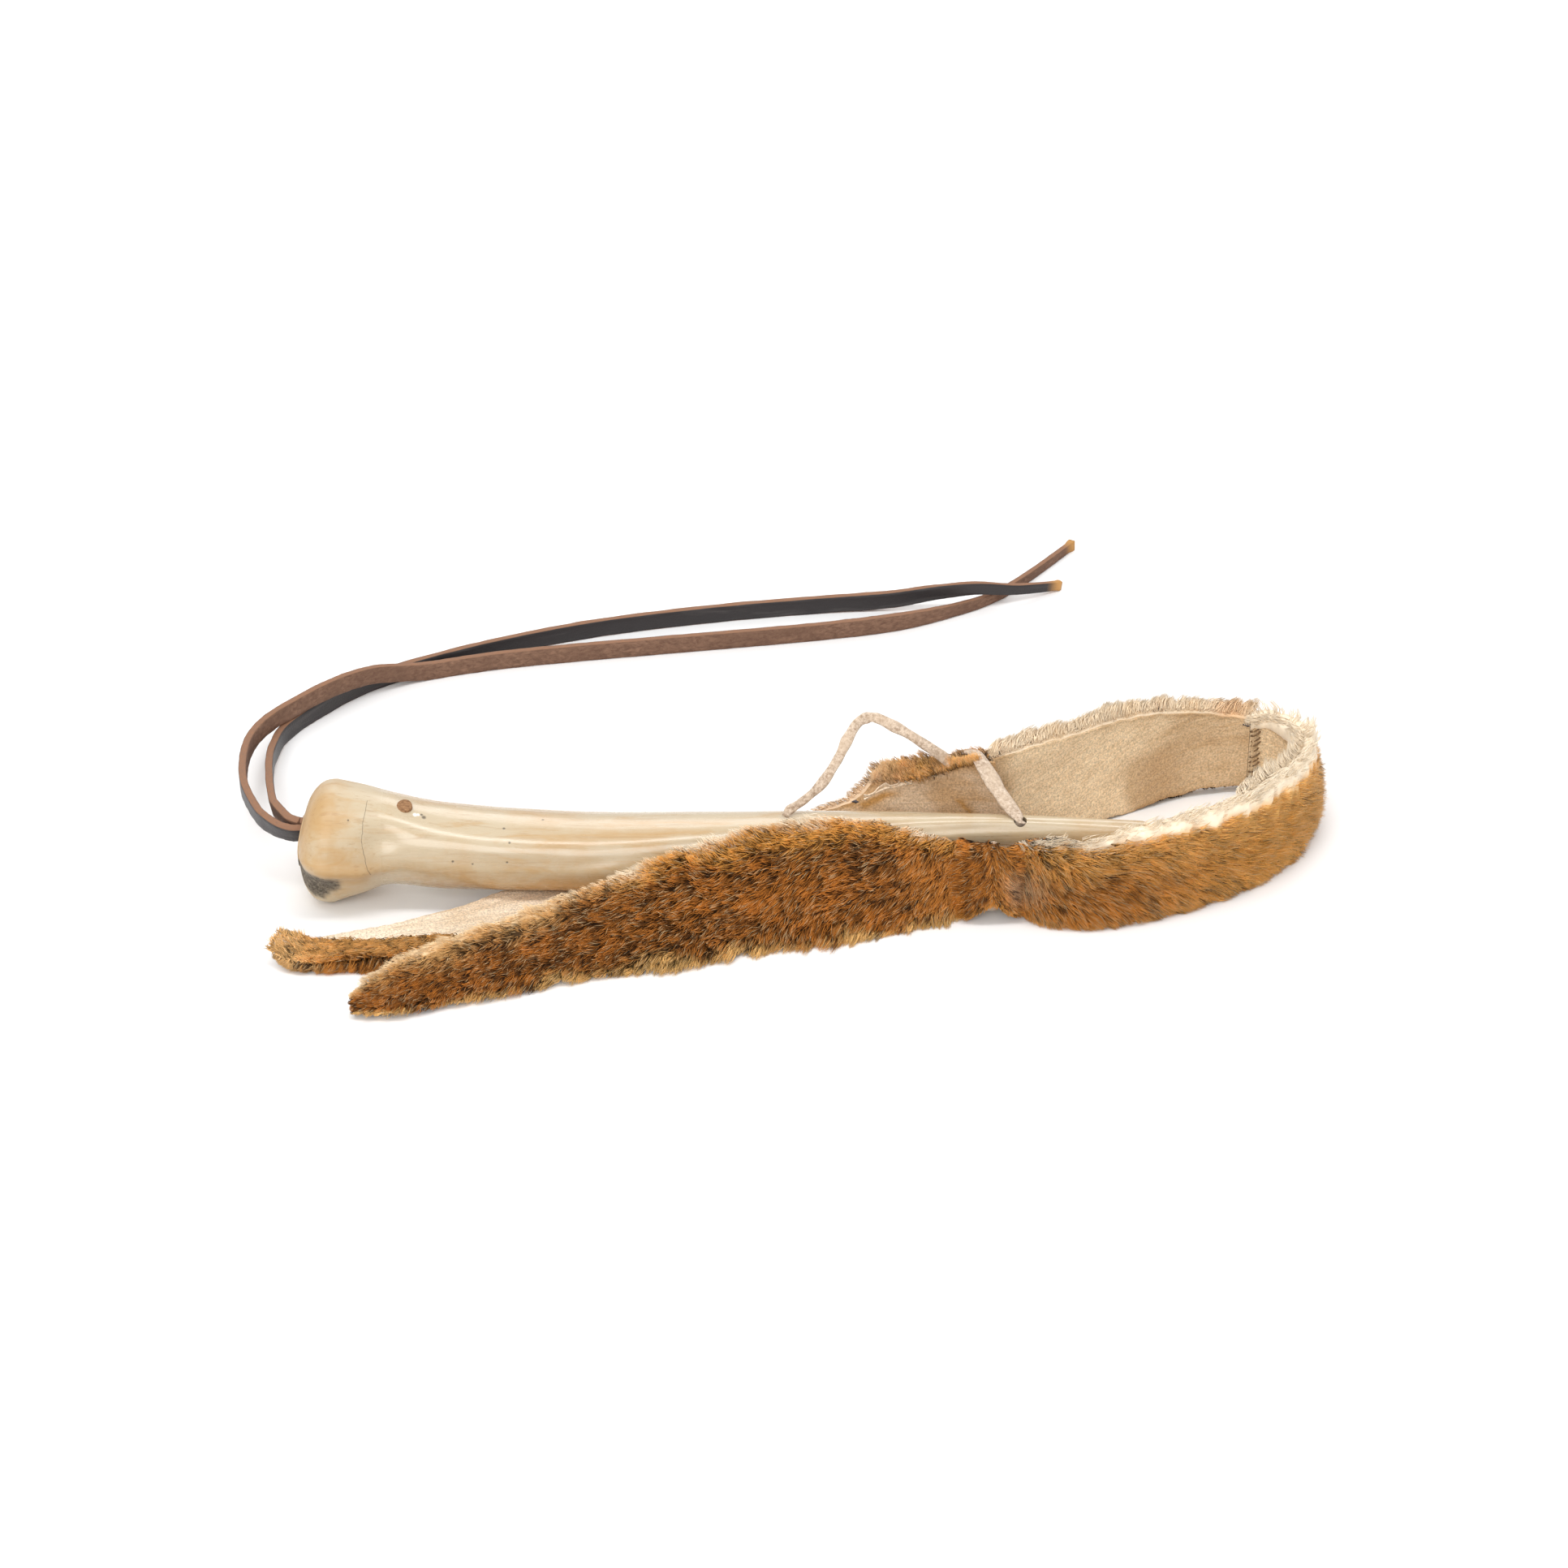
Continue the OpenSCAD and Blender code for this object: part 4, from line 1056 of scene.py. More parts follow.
def growFur(name, panel, look, tone):
    rng = np.random.default_rng(look["seed"])
    n = look["count"]
    u = rng.uniform(*look["along"], n)
    v = rng.uniform(*look["across"], n)
    rim = rng.uniform(0, 1, n)          # some hairs grow right at the two edges
    v = np.where(rim < look["edges"], v * 0.06 - 0.03, v)
    v = np.where(rim > 1 - look["edges"], v * 0.06 + 0.97, v)
    if "limit" in look:
        v = v * np.interp(u, *look["limit"])
    if "floor" in look:
        low = np.interp(u, *look["floor"])
        v = low + (1.02 - low) * v
    plain = tone(u, v, rng.uniform(0, 1, n))
    pale = fade(plain.mean(axis=1), 0.54, 0.68)
    kept = rng.uniform(0, 1, n) > look["bare"] * pale
    u, v, plain, pale = u[kept], v[kept], plain[kept], pale[kept]
    n = len(u)
    flip = look["flip"]
    here = panelAt(panel, np.clip(u, 0, 1))
    pile = here["fur"] * pileShape(v) if "pile" not in look else np.full(n, look["pile"])
    rise = hideT + 0.1 * pile if flip > 0 else np.full(n, 0.1)
    if "rise" in look:
        rise = rng.uniform(*look["rise"], n)
    atCut = np.abs(v - 0.5) > 0.46       # hair also grows from the cut edge itself
    rise = np.where(atCut, rise * rng.uniform(0.0, 1.0, n), rise)
    root, here = skinPoint(panel, np.clip(u, 0, 1), v, rise)
    outer = here["out"] * flip
    edge = (v - 0.5) * 2
    s = u * panel["length"]
    swirl = 0.45 * ripple(s * 0.09, v * 3, look["seed"] + 7)
    sideways = look["droop"] + look["spread"] * edge**3 + swirl
    lay = here["ahead"] * look["flow"] + here["across"] * sideways[:, None]
    lay = unitRows(lay + rng.normal(0, look["jitter"], (n, 3)))
    length = pile * rng.uniform(*look["length"], n) + rng.uniform(1, 3, n)
    length = length * (1 + 0.3 * np.abs(edge) ** 3 * ripple(s * 0.5, v * 2, look["seed"] + 5))
    length = length * (1 - look["trim"] * pale * (v < 0.95))
    lobes = 0.7 + 0.6 * ripple(s * 0.35, v * 0, look["seed"] + 4)
    fringe = look["skirt"] * (1 - fade(v, 0.0, 0.05)) + look["crest"] * fade(v, 0.93, 0.99)
    length = (length + lobes * fringe) * (1 - look["ebb"] * fade(u, 0.88, 1))
    stand = look["stand"] + 0.25 * ripple(s * 0.2, v * 5, look["seed"] + 8)
    stand = stand + look["sway"] * rng.uniform(-1, 1, n)
    stand = stand * (1 - 0.5 * pale)
    first = unitRows(outer * (stand + 0.35)[:, None] + lay * 0.6 + rng.normal(0, 0.15, (n, 3)))
    second = unitRows(outer * (stand * 0.65)[:, None] + lay + rng.normal(0, 0.2, (n, 3)))
    middle = root + first * (length * 0.45)[:, None]
    tip = middle + second * (length * 0.6)[:, None]
    # neighbours lean together, first into fine locks and then into tufts
    shades = []
    for size, pull, seed in ((look["lock"], look["clump"], 9), (look["tuft"], 0.35, 11)):
        cell = cellsOf(s / size + 0.5 * ripple(s * 0.5, v * 12, look["seed"] + seed),
                       v * here["width"] / size + 0.5 * ripple(s * 0.4, v * 9, look["seed"] + seed + 1))
        many = np.bincount(cell)
        heart = np.stack([np.bincount(cell, tip[:, k]) / many for k in range(3)], 1)
        tip = tip + (heart[cell] - tip) * rng.uniform(0.55 * pull, pull, n)[:, None]
        shades.append(rng.uniform(-1, 1, len(many))[cell])
    tip[:, 2] = np.maximum(tip[:, 2], rng.uniform(*overFloor["hairTip"], n))
    middle[:, 2] = np.maximum(middle[:, 2], rng.uniform(*overFloor["hairMiddle"], n))
    vary = 1 - 0.85 * pale
    shade = np.maximum(0.1, 1 + vary * (0.5 * rng.uniform(-1, 1, n) + 0.7 * shades[0] + 0.2 * shades[1]))
    base = plain * shade[:, None]
    # a share of thicker guard hairs with pale sand tips, which are partly painted glints
    shine = (rng.uniform(0, 1, n) < look["guardGlints"])[:, None]
    # painted shade and light: roots are painted dark as shade deep in the pile, the middle goes by the look's mid,
    # and the tips of darker hair are painted up to 2.5 times brighter as lit ends
    shadedRootTone = base * (0.05 + 0.95 * pale)[:, None]
    midTone = base * np.maximum(look["mid"], pale)[:, None]
    litTipTone = np.where(shine, base * 0.3 + np.array(furTones["sand"]) * 0.9, base * (2.5 - 1.45 * pale)[:, None])
    tones = [underWhite(tone) for tone in (shadedRootTone, midTone, litTipTone)]
    thick = rng.uniform(*look["thick"], n) * np.where(shine[:, 0], 1.35, 1)
    return strandMesh(name, root, middle, tip, thick, tones, outer)


furTones = dict(cream=tint(255, 238, 212), sand=tint(248, 214, 164), gold=tint(255, 197, 102),
                orange=tint(242, 164, 72), russet=tint(214, 140, 62), brown=tint(152, 92, 33),
                dark=tint(102, 60, 21), grey=tint(190, 172, 152))


def toneMix(parts):
    total = sum(weight for weight, name in parts)
    color = sum(weight[:, None] * np.array(furTones[name]) for weight, name in parts)
    return color / np.maximum(total, 1e-6)[:, None]


# colours of each panel: u runs from the tie to its far end, v from the lower edge to the upper
def tailFrontTone(u, v, chance):
    wander = 0.09 * ripple(u * 26, v * 4, 31) + 0.10 * (chance - 0.5)
    top = fade(v + wander, 0.80, 0.93)
    rim = fade(v + wander * 0.6 + 0.06 * fade(u, 0.45, 0.65), 0.96, 1.04)
    low = 1 - fade(v + wander, -0.02, 0.11)
    tuft = 0.5 * np.exp(-((u - 0.72) / 0.07) ** 2) * fade(v + wander, 0.6, 0.85)
    tuft = tuft + 0.4 * fade(u, 0.76, 0.82) * (1 - fade(u, 0.92, 0.97)) * fade(v + 2 * wander, 0.55, 0.85)
    neckPart = 1 - fade(u, 0.02, 0.16)
    mid = fade(ripple(u * 30, v * 6, 33), -0.2, 0.7)
    body = np.clip(1 - top - low, 0.02, 1)
    far = fade(u, 0.45, 0.75)
    return toneMix([(body * (1 - mid + 1.1 * far) * (1 - neckPart), "dark"), (body * (0.45 + mid), "brown"),
                    (body * neckPart, "russet"), (top * (1 - rim) + body * 0.15 * chance, "orange"),
                    (low * 0.7 + top * 0.5 * (1 - rim) + tuft, "gold"),
                    (low * 0.35 + tuft * 0.7 + top * far, "sand"), (rim * 0.8, "cream")])


def loopFrontTone(u, v, chance):
    wander = 0.05 * ripple(u * 60, v * 8, 41) + 0.12 * (chance - 0.5)
    band = np.interp(u, [0, 0.1, 0.3, 0.55, 0.75, 1], [0.03, 0.06, 0.16, 0.2, 0.19, 0.17])
    top = fade(v + wander * 0.6, 1 - band, 1 - band * 0.4)
    halo = fade(v + wander, 0.62 - band, 0.98 - band) * (1 - top)
    low = 1 - fade(v + wander, 0.0, 0.14)
    mid = fade(ripple(u * 40, v * 9, 43), -0.3, 0.8)
    deep = np.exp(-((u - 0.2) / 0.14) ** 2) * (1 - fade(v, 0.5, 0.85))
    ash = np.exp(-((u - 0.07) / 0.03) ** 2 - ((v - 0.5) / 0.2) ** 2)
    body = np.clip(1 - top - low * 0.6, 0.02, 1)
    far = fade(u, 0.2, 0.6)
    bright = (0.64 + 0.5 * fade(u, 0.06, 0.3))[:, None]
    return bright * toneMix([(body * (0.5 + deep) * (1 - 0.7 * far), "brown"),
                             (body * (0.8 - 0.4 * mid) * (1 - 0.5 * far), "russet"),
                             (body * (0.4 + 0.6 * mid), "orange"),
                             (halo * 1.4 + low * 0.4 + body * (0.2 * chance + 1.1 * far), "gold"),
                             (halo * (0.3 + 0.4 * far) + low * 0.3 + body * 0.2 * far * chance, "sand"),
                             (top * 6, "cream"), (ash * 1.5, "grey"), (body * deep * (1.2 - mid), "dark")])


def loopBackTone(u, v, chance):
    wander = 0.08 * ripple(u * 18, v * 4, 51) + 0.1 * (chance - 0.5)
    top = fade(v + wander, 0.84, 0.95)
    low = 1 - fade(v + wander, 0.04, 0.18)
    mid = fade(ripple(u * 16, v * 5, 53), -0.4, 0.8)
    glow = np.exp(-((u - 0.93) / 0.05) ** 2) * 0.9
    body = np.clip(1 - top - low * 0.7, 0.02, 1)
    return toneMix([(body * 0.35, "brown"), (body * (0.7 - 0.4 * mid), "russet"),
                    (body * (0.3 + 0.6 * mid) + top * glow, "orange"),
                    (low * 0.5 + body * 0.2 * chance + top * 0.35 * mid, "gold"),
                    (low * 0.4 + top * 0.3, "sand"), (top, "cream")])


def tailBackTone(u, v, chance):
    wander = 0.08 * ripple(u * 24, v * 4, 61) + 0.1 * (chance - 0.5)
    upper = fade(v + wander, 0.7, 0.9) * (1 - fade(u, 0.2, 0.3))
    mid = fade(ripple(u * 30, v * 5, 63), -0.4, 0.8)
    end = fade(u + wander * 0.3, 0.93, 0.99)
    low = 1 - fade(v + wander, 0.02, 0.16)
    flat = fade(u, 0.4, 0.5)
    band = flat * (1 - low)
    under = low * flat * (1 - end)
    rim = fade(v, 0.94, 1.02) * (1 + 5 * fade(u, 0.12, 0.15)) * (1 - fade(u, 0.25, 0.32))
    return toneMix([(0.5 + 0.3 * flat * (1 - mid) + 0.8 * under, "brown"), (0.6 * under, "dark"),
                    (0.5 - 0.3 * mid, "russet"), (upper * 1.4 + 0.3 * mid, "orange"),
                    (upper * 0.5 + low * 0.4 * (1 - flat) + 0.25 * chance + 0.6 * band + 1.4 * end, "gold"),
                    (end * 1.2 + low * 0.3 * (1 - flat) + 0.35 * band, "sand"), (end * 0.5 * chance + rim, "cream")])


def tornTone(u, v, chance):
    spot = ripple(u * 240, v * 14, 81) + 0.4 * (chance - 0.5)
    left = fade(u, 0.1, 0.145)
    return toneMix([(0.5 * fade(spot, -0.1, -0.7), "brown"), (0.45 + 0.2 * chance, "orange"),
                    (0.2 + 0.7 * fade(spot, 0, 0.6), "gold"), (0.4 * chance + 0.4 * left, "sand"),
                    (0.3 * chance + 0.8 * left, "cream")])


loopFront = panelOf(loopFrontStations(), frontY, 1, 101)
loopBack = panelOf(loopBackStations(), backY, -1, 111)
tailFront = panelOf(tailFrontStations(), frontY, -1, 121)
tailBack = panelOf(tailBackStations(), backY, 1, 131)
for panel, first in ((loopFront, False), (loopBack, True), (tailFront, True), (tailBack, False)):
    panel["outFirst"] = first
# the loop front's pile is painted a little less dark as shade
loopFront["glow"] = 0.2
tailFront["closed"] = tailBack["closed"] = True       # at their tips the pile comes down to the skin
# the back strap goes on behind the thong
tailBack["reach"] = ([0.2, 0.4, 0.6, 0.8, 0.98], [-0.042, -0.036, -0.028, -0.019, -0.01])


def clean(u, v):
    return np.zeros_like(u)


def loopBackSoilAndShade(u, v):
    # painted shade: a soft dark area where the strap folds
    foldShade = fade(u - 0.12 * (v - 0.3) ** 2 * 4, 0.5, 0.56) * (1 - fade(u, 0.62, 0.85)) * (1 - fade(v, 0.35, 0.75))
    rim = fade(v, 0.97, 1.0) * 0.3 + (1 - fade(v, 0.0, 0.05)) * 0.4
    atTie, far = 1 - fade(u, 0.03, 0.1), fade(u, 0.5, 0.8)
    return 0.55 * foldShade + rim + 0.55 * atTie + 0.4 * far + 0.2 * fade(ripple(u * 9, v * 4, 71), 0.2, 1)


# where the back strap's edge is torn left of the tie
def tornAt(u):
    return np.interp(u, [0.097, 0.121, 0.141, 0.158], [0.835, 0.82, 0.86, 0.92])


def tailBackSoilAndShadow(u, v):
    # painted shadow: a dark band where the strap goes under the bone
    under = np.exp(-((u - 0.46) / 0.05) ** 2) * fade(v, 0.4, 0.9)
    torn = (1 - fade(u, 0.2, 0.28)) * (0.5 + 0.25 * fade(ripple(u * 60, v * 5, 73), -0.5, 0.6))
    hollow = np.exp(-((v - tornAt(u) + 0.06) / 0.04) ** 2) * fade(u, 0.1, 0.14) * (1 - fade(u, 0.158, 0.166))
    slit = np.interp(u, [0.016, 0.029, 0.038], [0.42, 0.56, 0.64])
    split = np.exp(-((v - slit) / 0.03) ** 2) * (u > 0.015) * (u < 0.038)
    return 0.9 * under + 0.2 * fade(v, 0.9, 1) + torn + 0.7 * hollow + 0.6 * split


def settle(piece, turn, slot, *nodes):
    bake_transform(piece)
    if nodes:
        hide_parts(*nodes)
    return piece


def flatArea(panel):
    return float(np.trapz(panel["width"], panel["share"]) * panel["length"] * mm * mm)


def dressPanel(name, panel, material, soilAndShade, tone, turn, hideNodes, furNodes, furs, more=()):
    skin = settle(makeSkin(name + "Hide", panel, material, soilAndShade), turn, "hide", *hideNodes)
    pile = settle(makeUnderfur(name + "Underfur", panel, tone), turn, "fur", *furNodes)
    for key, look in furs.items():
        hair = growFur(name + "Fur" + key, panel, look, look.get("tone", tone))
        settle(hair, turn, "fur")
    print(name, "dressed,", round(panel["length"]), "mm long, area", round(flatArea(panel) * 1e4), "cm2")


# pale wool that rolls over the loop's top edge where it bends
def makeRoll():
    roll = dict(rings=64, sides=16, thick=2.6, tall=3.6, at=0.91, lumps=0.14, bright=0.78)
    u = np.linspace(0.5, 1, roll["rings"])
    swell = 0.25 + 0.75 * fade(u, 0.5, 0.66) * (1 - 0.6 * fade(u, 0.9, 1))
    middle, here = skinPoint(loopFront, u, np.full_like(u, roll["at"]), -roll["thick"] * swell)
    rings = []
    for k in range(roll["sides"]):
        a = 2 * math.pi * k / roll["sides"]
        wool = swell * (1 + roll["lumps"] * ripple(u * 70, np.full_like(u, 3 * math.sin(a)), 171))
        rings.append(middle - (math.cos(a) * roll["thick"] * wool)[:, None] * here["out"]
                     + (math.sin(a) * roll["tall"] * wool)[:, None] * here["across"])
    piece = ringTube("loopFrontRoll", np.stack(rings, 1) * mm, underHair)[0]
    paintTone(piece.data, np.tile(roll["bright"] * np.array(furTones["cream"]), (len(piece.data.vertices), 1)))
    return settle(piece, "loop", "fur")


# how a coat grows: along and across are its place on the panel, the rest is its hair
coatLook = dict(length=(0.75, 1.4), thick=(0.16, 0.28), flow=1.0, droop=-0.3, spread=1.0, jitter=0.4, stand=0.85,
                tuft=6, lock=2.2, clump=0.9, guardGlints=0.1, mid=0.55, along=(0.0, 1.0), across=(0.0, 1.0), edges=0.07,
                flip=1, trim=0.3, bare=0, skirt=0, crest=0, ebb=0, sway=0)


def coat(count, seed, **changes):
    return {**coatLook, "count": count, "seed": seed, **changes}


def loopCoat(count, seed, **changes):
    look = dict(length=(0.95, 1.7), stand=1.0, trim=0.4, skirt=4, crest=3, spread=1.2, mid=1.05, guardGlints=0.16,
                bare=0.8)
    return coat(count, seed, **{**look, **changes})


# hair that lies back over the thong where two panels meet
def crossCoat(seed, along):
    return coat(2500, seed, along=along, flow=-1.0, stand=0.6, edges=0)


dressPanel("loopFront", loopFront, strapHide, clean, loopFrontTone, "loop",
           ["loop_front_hide"], ["loop_front_fur"],
           dict(A=loopCoat(16000, 201, along=(0.0, 0.5), mid=0.85),
                B=loopCoat(18000, 202, along=(0.5, 1.0)),
                Roll=loopCoat(2000, 214, along=(0.52, 1.0), across=(0.9, 1.02), edges=0, pile=4.5, flip=-1,
                              length=(0.5, 1.2), stand=1.2, droop=0.2, spread=0.4, trim=0, bare=0)),
           [makeRoll()])
dressPanel("loopBack", loopBack, strapHide, loopBackSoilAndShade, loopBackTone, "loop",
           ["loop_back_hide"], ["loop_back_fur"],
           dict(A=coat(19000, 203, edges=0.14, clump=0.8, crest=4), Cross=crossCoat(215, (0.0, 0.06))))
dressPanel("tailFront", tailFront, strapHide, clean, tailFrontTone, "front",
           ["tail_front_hide"], ["tail_front_fur"],
           dict(A=coat(19000, 204, along=(0.0, 0.45), skirt=8, crest=2.5),
                B=coat(19000, 205, along=(0.45, 1.0), skirt=5, crest=2.5, ebb=0.3)))
tornFrom = ([0.012, 0.037, 0.064, 0.081, 0.105, 0.142], [0.97, 0.935, 0.885, 0.855, 0.84, 0.94])
topTo = ([0.45, 0.7, 0.82, 0.88, 0.95, 1], [0.05, 0.18, 0.45, 0.66, 0.9, 0.95])
tipTo = ([0.89, 0.93, 0.97, 1], [0.62, 0.82, 1, 1])
dressPanel("tailBack", tailBack, tailHide, tailBackSoilAndShadow, tailBackTone, "back",
           ["tail_back_hide", "tail_end_hide"], ["tail_back_fur", "tail_end_fur"],
           dict(A=coat(8000, 206, along=(0.0, 0.3), edges=0.1, spread=1.2, crest=1),
                Cross=crossCoat(216, (0.0, 0.025)),
                B=coat(6000, 207, along=(0.25, 0.99), droop=-0.6, ebb=0.6),
                Torn=coat(6000, 212, along=(0.012, 0.142), floor=tornFrom, edges=0, tone=tornTone, pile=4.2,
                          flip=-1, length=(0.6, 1.8), thick=(0.09, 0.17), stand=0.5, droop=0.9, jitter=0.9,
                          lock=1.5, clump=0.6),
                Fringe=coat(9000, 208, along=(0.42, 0.99), across=(-0.03, 0.05), edges=0, pile=5, droop=-0.7,
                            stand=0.0, sway=0.8, rise=(-1.2, 2.4), ebb=0.5),
                Top=coat(9000, 209, along=(0.45, 0.995), limit=topTo, edges=0, pile=4.5, ebb=0.6, flip=-1,
                         stand=0.5, droop=-0.35),
                Tip=coat(3000, 213, along=(0.89, 1.0), across=(-0.05, 1.05), limit=tipTo, edges=0, pile=4, flip=-1,
                         length=(0.5, 1.2), stand=0.6, droop=0.1, jitter=0.8, mid=0.9)))


# the torn edge itself: a pale ragged lip that curls to the front
def makeTornEdge():
    lip = dict(first=0.097, span=0.061, below=0.02, tall=0.055, curl=2.4, wall=0.5)
    piece, u, v = panelGrid("tornEdge", 44, 4, tailHide)
    u = lip["first"] + lip["span"] * u
    ragged = 0.9 + 0.6 * ripple(u * 130, u * 0, 151)
    up = tornAt(u) - lip["below"] + lip["tall"] * v * ragged
    p = skinPoint(tailBack, u, up, -0.6 - lip["curl"] * np.abs(v - 0.4))[0]
    writePoints(piece.data, p * mm)
    stripUvFrom(piece, 0.02, 0.003)
    paint(piece.data, "soilAndShade", np.zeros(len(u)))
    thicken(piece, lip["wall"], -1)
    outward(piece)
    smoothShade(piece, 60)
    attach(piece, "handle")


makeTornEdge()


# Gathered neck: the strap folded into pleats inside the thong's turn
def makeNeck():
    neck = dict(x=tieX, y=frontY - 9.2, z=15, halfW=3.2, halfH=11, reach=7, pleats=9, pleatDeep=0.13, girth=45,
                rings=14, sides=54, soilAndShade=0.15)
    a = np.arange(neck["sides"]) * 2 * math.pi / neck["sides"]
    rings = []
    for k in range(neck["rings"]):
        s = k / (neck["rings"] - 1) * 2 - 1
        pleat = 1 + neck["pleatDeep"] * np.sin(neck["pleats"] * a + 0.6 * s)
        wide = neck["halfW"] * (0.86 + 0.35 * abs(s) ** 1.5) * pleat
        tall = neck["halfH"] * (0.9 + 0.08 * abs(s)) * pleat
        rings.append(np.stack([np.full_like(a, neck["x"] + s * neck["reach"]), neck["y"] + wide * np.cos(a),
                               neck["z"] + tall * np.sin(a)], 1))
    piece, ring, side = ringTube("strapNeck", np.array(rings) * mm, strapHide)
    along = np.linspace(0, 2 * neck["reach"] * mm, neck["rings"])
    tubeUv(piece, ring, side, neck["sides"], along, neck["girth"] * mm)
    paint(piece.data, "soilAndShade", np.full(len(piece.data.vertices), neck["soilAndShade"]))
    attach(piece, "handle")
    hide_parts("strap_neck")


makeNeck()


# fur that spreads from the neck over the thong
def neckTone(u, v, chance):
    right = fade(u + 0.1 * (chance - 0.5), 0.4, 0.47)
    # painted shade: dark hair along the crease
    creaseShade = np.exp(-((u - 0.42) / 0.05) ** 2)
    ash = np.exp(-((u - 0.64) / 0.1) ** 2 - ((v - 0.45) / 0.2) ** 2)
    tuft = np.exp(-((u - 0.33) / 0.08) ** 2) * fade(v, 0.75, 0.95)
    return toneMix([((1 - right) * 0.9 + 0.3, "brown"), (right * 0.8 + 0.2, "russet"),
                    (creaseShade + tuft * 1.5 + 0.25 * (1 - right), "dark"),
                    (0.5 * right * chance + 0.2 * chance, "orange"), (ash * 1.6, "grey"),
                    (0.5 * (1 - fade(v, 0, 0.15)), "gold")])


neckStations = [(-14, -11, 2.5, 30, 10, 6), (-7, -14.5, 2.5, 30, 10, 6), (-2, -16.8, 8, 26, 10, 5),
                (0, -16.4, 11, 23, 10, 4), (2, -16.8, 8, 25, 10, 5), (7, -14.5, 2.5, 29, 8, 6),
                (14, -11, 2, 30, 6, 6), (20, -14.5, 1.5, 33, 8, 6.5)]
neckPanel = panelOf(neckStations, frontY, 1, 141)
for key, flow, along, seed in (("Left", -1.0, (0.0, 0.44), 210), ("Right", 1.0, (0.40, 1.0), 211)):
    look = coat(3600, seed, flow=flow, along=along, jitter=0.6, stand=1.0, droop=-0.4)
    tuft = growFur("neckFur" + key, neckPanel, look, neckTone)
    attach(tuft, "handle")
print("neck gathered")


# Seam: the two panels' ends are turned up into a ridge and whipped with sinew
seam = dict(x=tieX + 116.5, y=backY + 75, low=5, high=35, ridge=2.6, ridgeIn=1.1, rounding=0.7, cuts=7,
            stitches=12, ring=2.0, thread=0.42, flat=0.84, slope=0.5, stitchIn=0.9, wander=0.4)


def makeSeamRidge():
    deselectAll()
    middle = (seam["x"] * mm, (seam["y"] - seam["ridgeIn"]) * mm, (seam["low"] + seam["high"]) / 2 * mm)
    size = (seam["ridge"] * mm, seam["ridge"] * mm, (seam["high"] - seam["low"] - 1) * mm)
    bpy.ops.mesh.primitive_cube_add(size=1, location=middle, scale=size)
    piece = named("seamRidge", strapHide)
    bpy.ops.object.transform_apply(location=True, rotation=True, scale=True)
    bpy.ops.object.mode_set(mode="EDIT")
    bpy.ops.mesh.select_all(action="SELECT")
    bpy.ops.mesh.subdivide(number_cuts=seam["cuts"])
    bpy.ops.object.mode_set(mode="OBJECT")
    soften = piece.modifiers.new("soften", "BEVEL")
    soften.width = seam["rounding"] * mm
    soften.segments = 2
    soften.limit_method = "ANGLE"
    applyAll(piece)
    co = readPoints(piece.data) / mm
    co[:, 0] += 0.5 * np.sin(co[:, 2] * 0.8) + 0.25 * np.sin(co[:, 2] * 2.1)
    co[:, 1] += 0.25 * np.sin(co[:, 2] * 1.7 + co[:, 0])
    writePoints(piece.data, co * mm)
    piece.data.uv_layers[0].name = stripUv
    paint(piece.data, "soilAndShade", 0.35 + 0.3 * np.sin(co[:, 2] * 0.9))
    smoothShade(piece, 60)
    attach(piece, "wrist_loop")


def makeStitches():
    deselectAll()
    bpy.ops.mesh.primitive_torus_add(major_segments=14, minor_segments=6, major_radius=seam["ring"] * mm,
                                     minor_radius=seam["thread"] * mm, rotation=(math.pi / 2, 0, 0))
    first = named("seamThread", sinew)
    bpy.ops.object.transform_apply(location=True, rotation=True, scale=True)
    co = readPoints(first.data) / mm
    co = np.stack([co[:, 0], co[:, 2] * seam["flat"], co[:, 1] + seam["slope"] * co[:, 0]], 1)
    writePoints(first.data, co * mm)
    copies = [first]
    pitch = (seam["high"] - seam["low"]) / seam["stitches"]
    rng = np.random.default_rng(15)
    for _ in range(1, seam["stitches"]):
        other = first.copy()
        other.data = first.data.copy()
        bpy.context.scene.collection.objects.link(other)
        copies.append(other)
    for k, piece in enumerate(copies):
        wander = rng.uniform(-seam["wander"], seam["wander"], 3)
        shift = np.array([seam["x"], seam["y"] - seam["stitchIn"], seam["low"] + (k + 0.5) * pitch]) + wander
        writePoints(piece.data, (readPoints(piece.data) / mm + shift) * mm)
    pick(first)
    for piece in copies:
        piece.select_set(True)
    bpy.ops.object.join()
    outward(first)
    smoothShade(first)
    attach(first, "wrist_loop")
    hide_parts("seam_stitches")


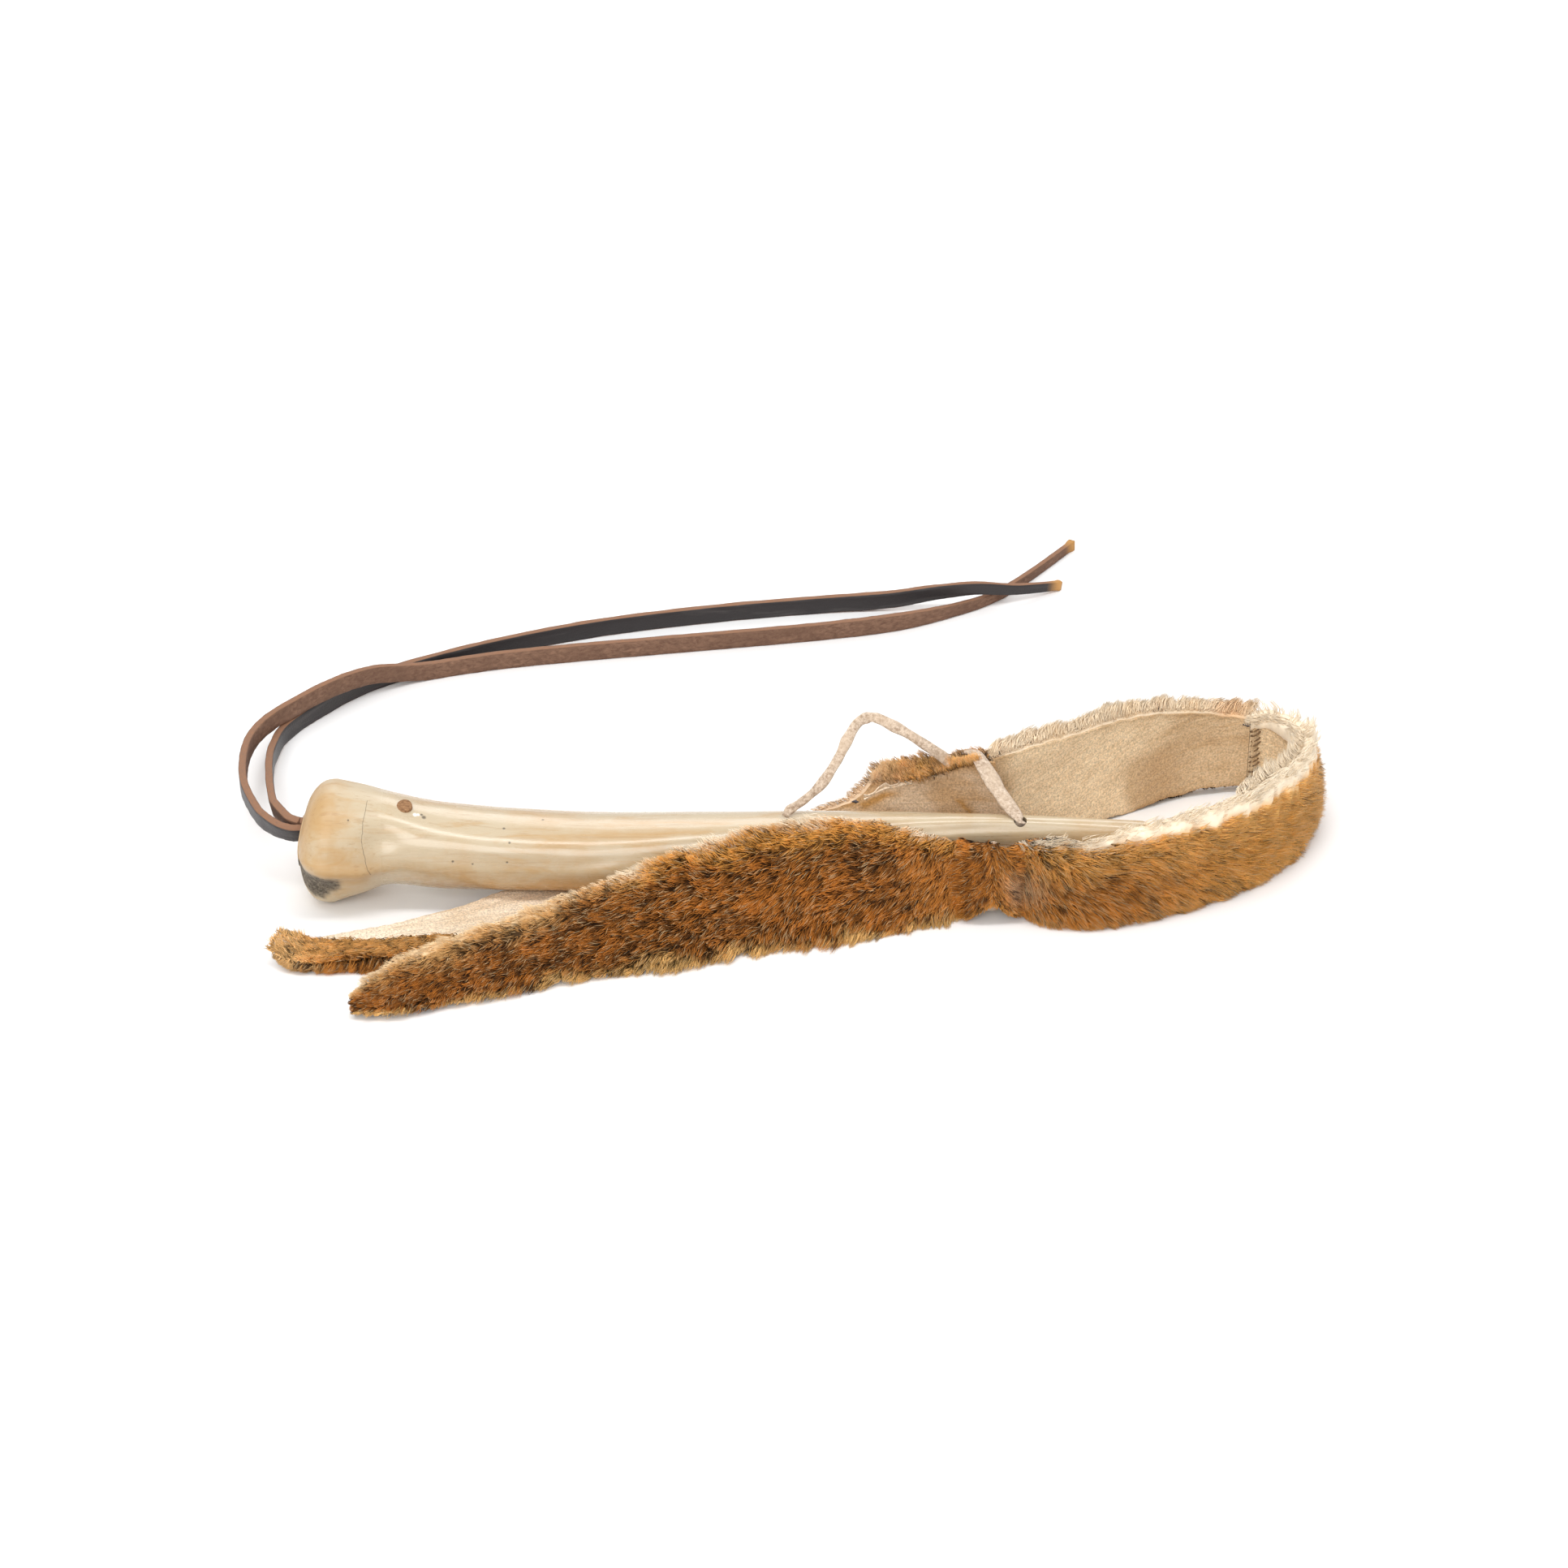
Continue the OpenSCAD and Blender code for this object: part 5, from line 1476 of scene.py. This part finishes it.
# a knot of thread: a ball drawn into lumps, with two cut ends
def makeKnot(name, centre, size, body):
    deselectAll()
    bpy.ops.mesh.primitive_ico_sphere_add(subdivisions=3, radius=size * mm)
    piece = named(name, darkThread)
    co = readPoints(piece.data) / mm
    lumps = 1 + 0.22 * ripple(co[:, 0] * 3 / size, co[:, 1] * 3 / size + co[:, 2] * 2 / size, 91)
    co = co * lumps[:, None] * (1.1, 0.8, 0.9)
    tail = np.maximum(0, np.abs(co[:, 0]) / size - 0.75)
    co[:, 0] *= 1 + 5.0 * tail
    co[:, 2] *= 1 - 1.2 * np.minimum(tail, 0.6)
    writePoints(piece.data, (co + centre) * mm)
    smoothShade(piece)
    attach(piece, body)


makeSeamRidge()
makeStitches()
makeKnot("seamKnot", (seam["x"] - 3.5, seam["y"] - 1.8, seam["high"] - 1.4), 1.1, "wrist_loop")
makeKnot("tornKnot", (21.2, 23.4, 28.6), 0.8, "handle")
makeKnot("seamEnd", (seam["x"] - 1.5, seam["y"] - 1.8, seam["low"] + 1), 0.7, "wrist_loop")
print("seam sewn")


# Floor and light: a pale floor, one long soft lamp overhead, a wide fill in front and one behind
stage = dict(floor=14, floorColor=(0.93, 0.93, 0.93, 1), room=(1.0, 0.99, 0.98, 1), roomLight=0.66)
lamps = dict(overhead=dict(place=(0.0, -0.3, 1.65), aim=(0, 0.0, 0.03), size=(2.4, 0.32), power=16),
             frontFill=dict(place=(-0.5, -1.9, 1.3), aim=(0, 0.05, 0.02), size=(2.0, 1.2), power=25),
             backFill=dict(place=(0.0, 2.2, 1.8), aim=(0, 1.0, 0), size=(3.0, 1.2), power=26))


def makeFloor():
    deselectAll()
    bpy.ops.mesh.primitive_plane_add(size=stage["floor"])
    material = newMaterial("paleFloor", Roughness=0.9, Base_Color=stage["floorColor"])[0]
    named("floor", material)


def softLamp(name, place, aim, size, power):
    lamp = bpy.data.lights.new(name, "AREA")
    lamp.shape = "RECTANGLE"
    lamp.size, lamp.size_y = size
    lamp.energy = power
    piece = bpy.data.objects.new(name, lamp)
    piece.location = place
    piece.rotation_euler = (Vector(aim) - Vector(place)).to_track_quat("-Z", "Y").to_euler()
    bpy.context.scene.collection.objects.link(piece)


makeFloor()
for name, lamp in lamps.items():
    softLamp(name, **lamp)
world = bpy.data.worlds.new("softRoom")
world.use_nodes = True
world.node_tree.nodes["Background"].inputs[0].default_value = stage["room"]
world.node_tree.nodes["Background"].inputs[1].default_value = stage["roomLight"]
bpy.context.scene.world = world
print("floor and lamps placed")
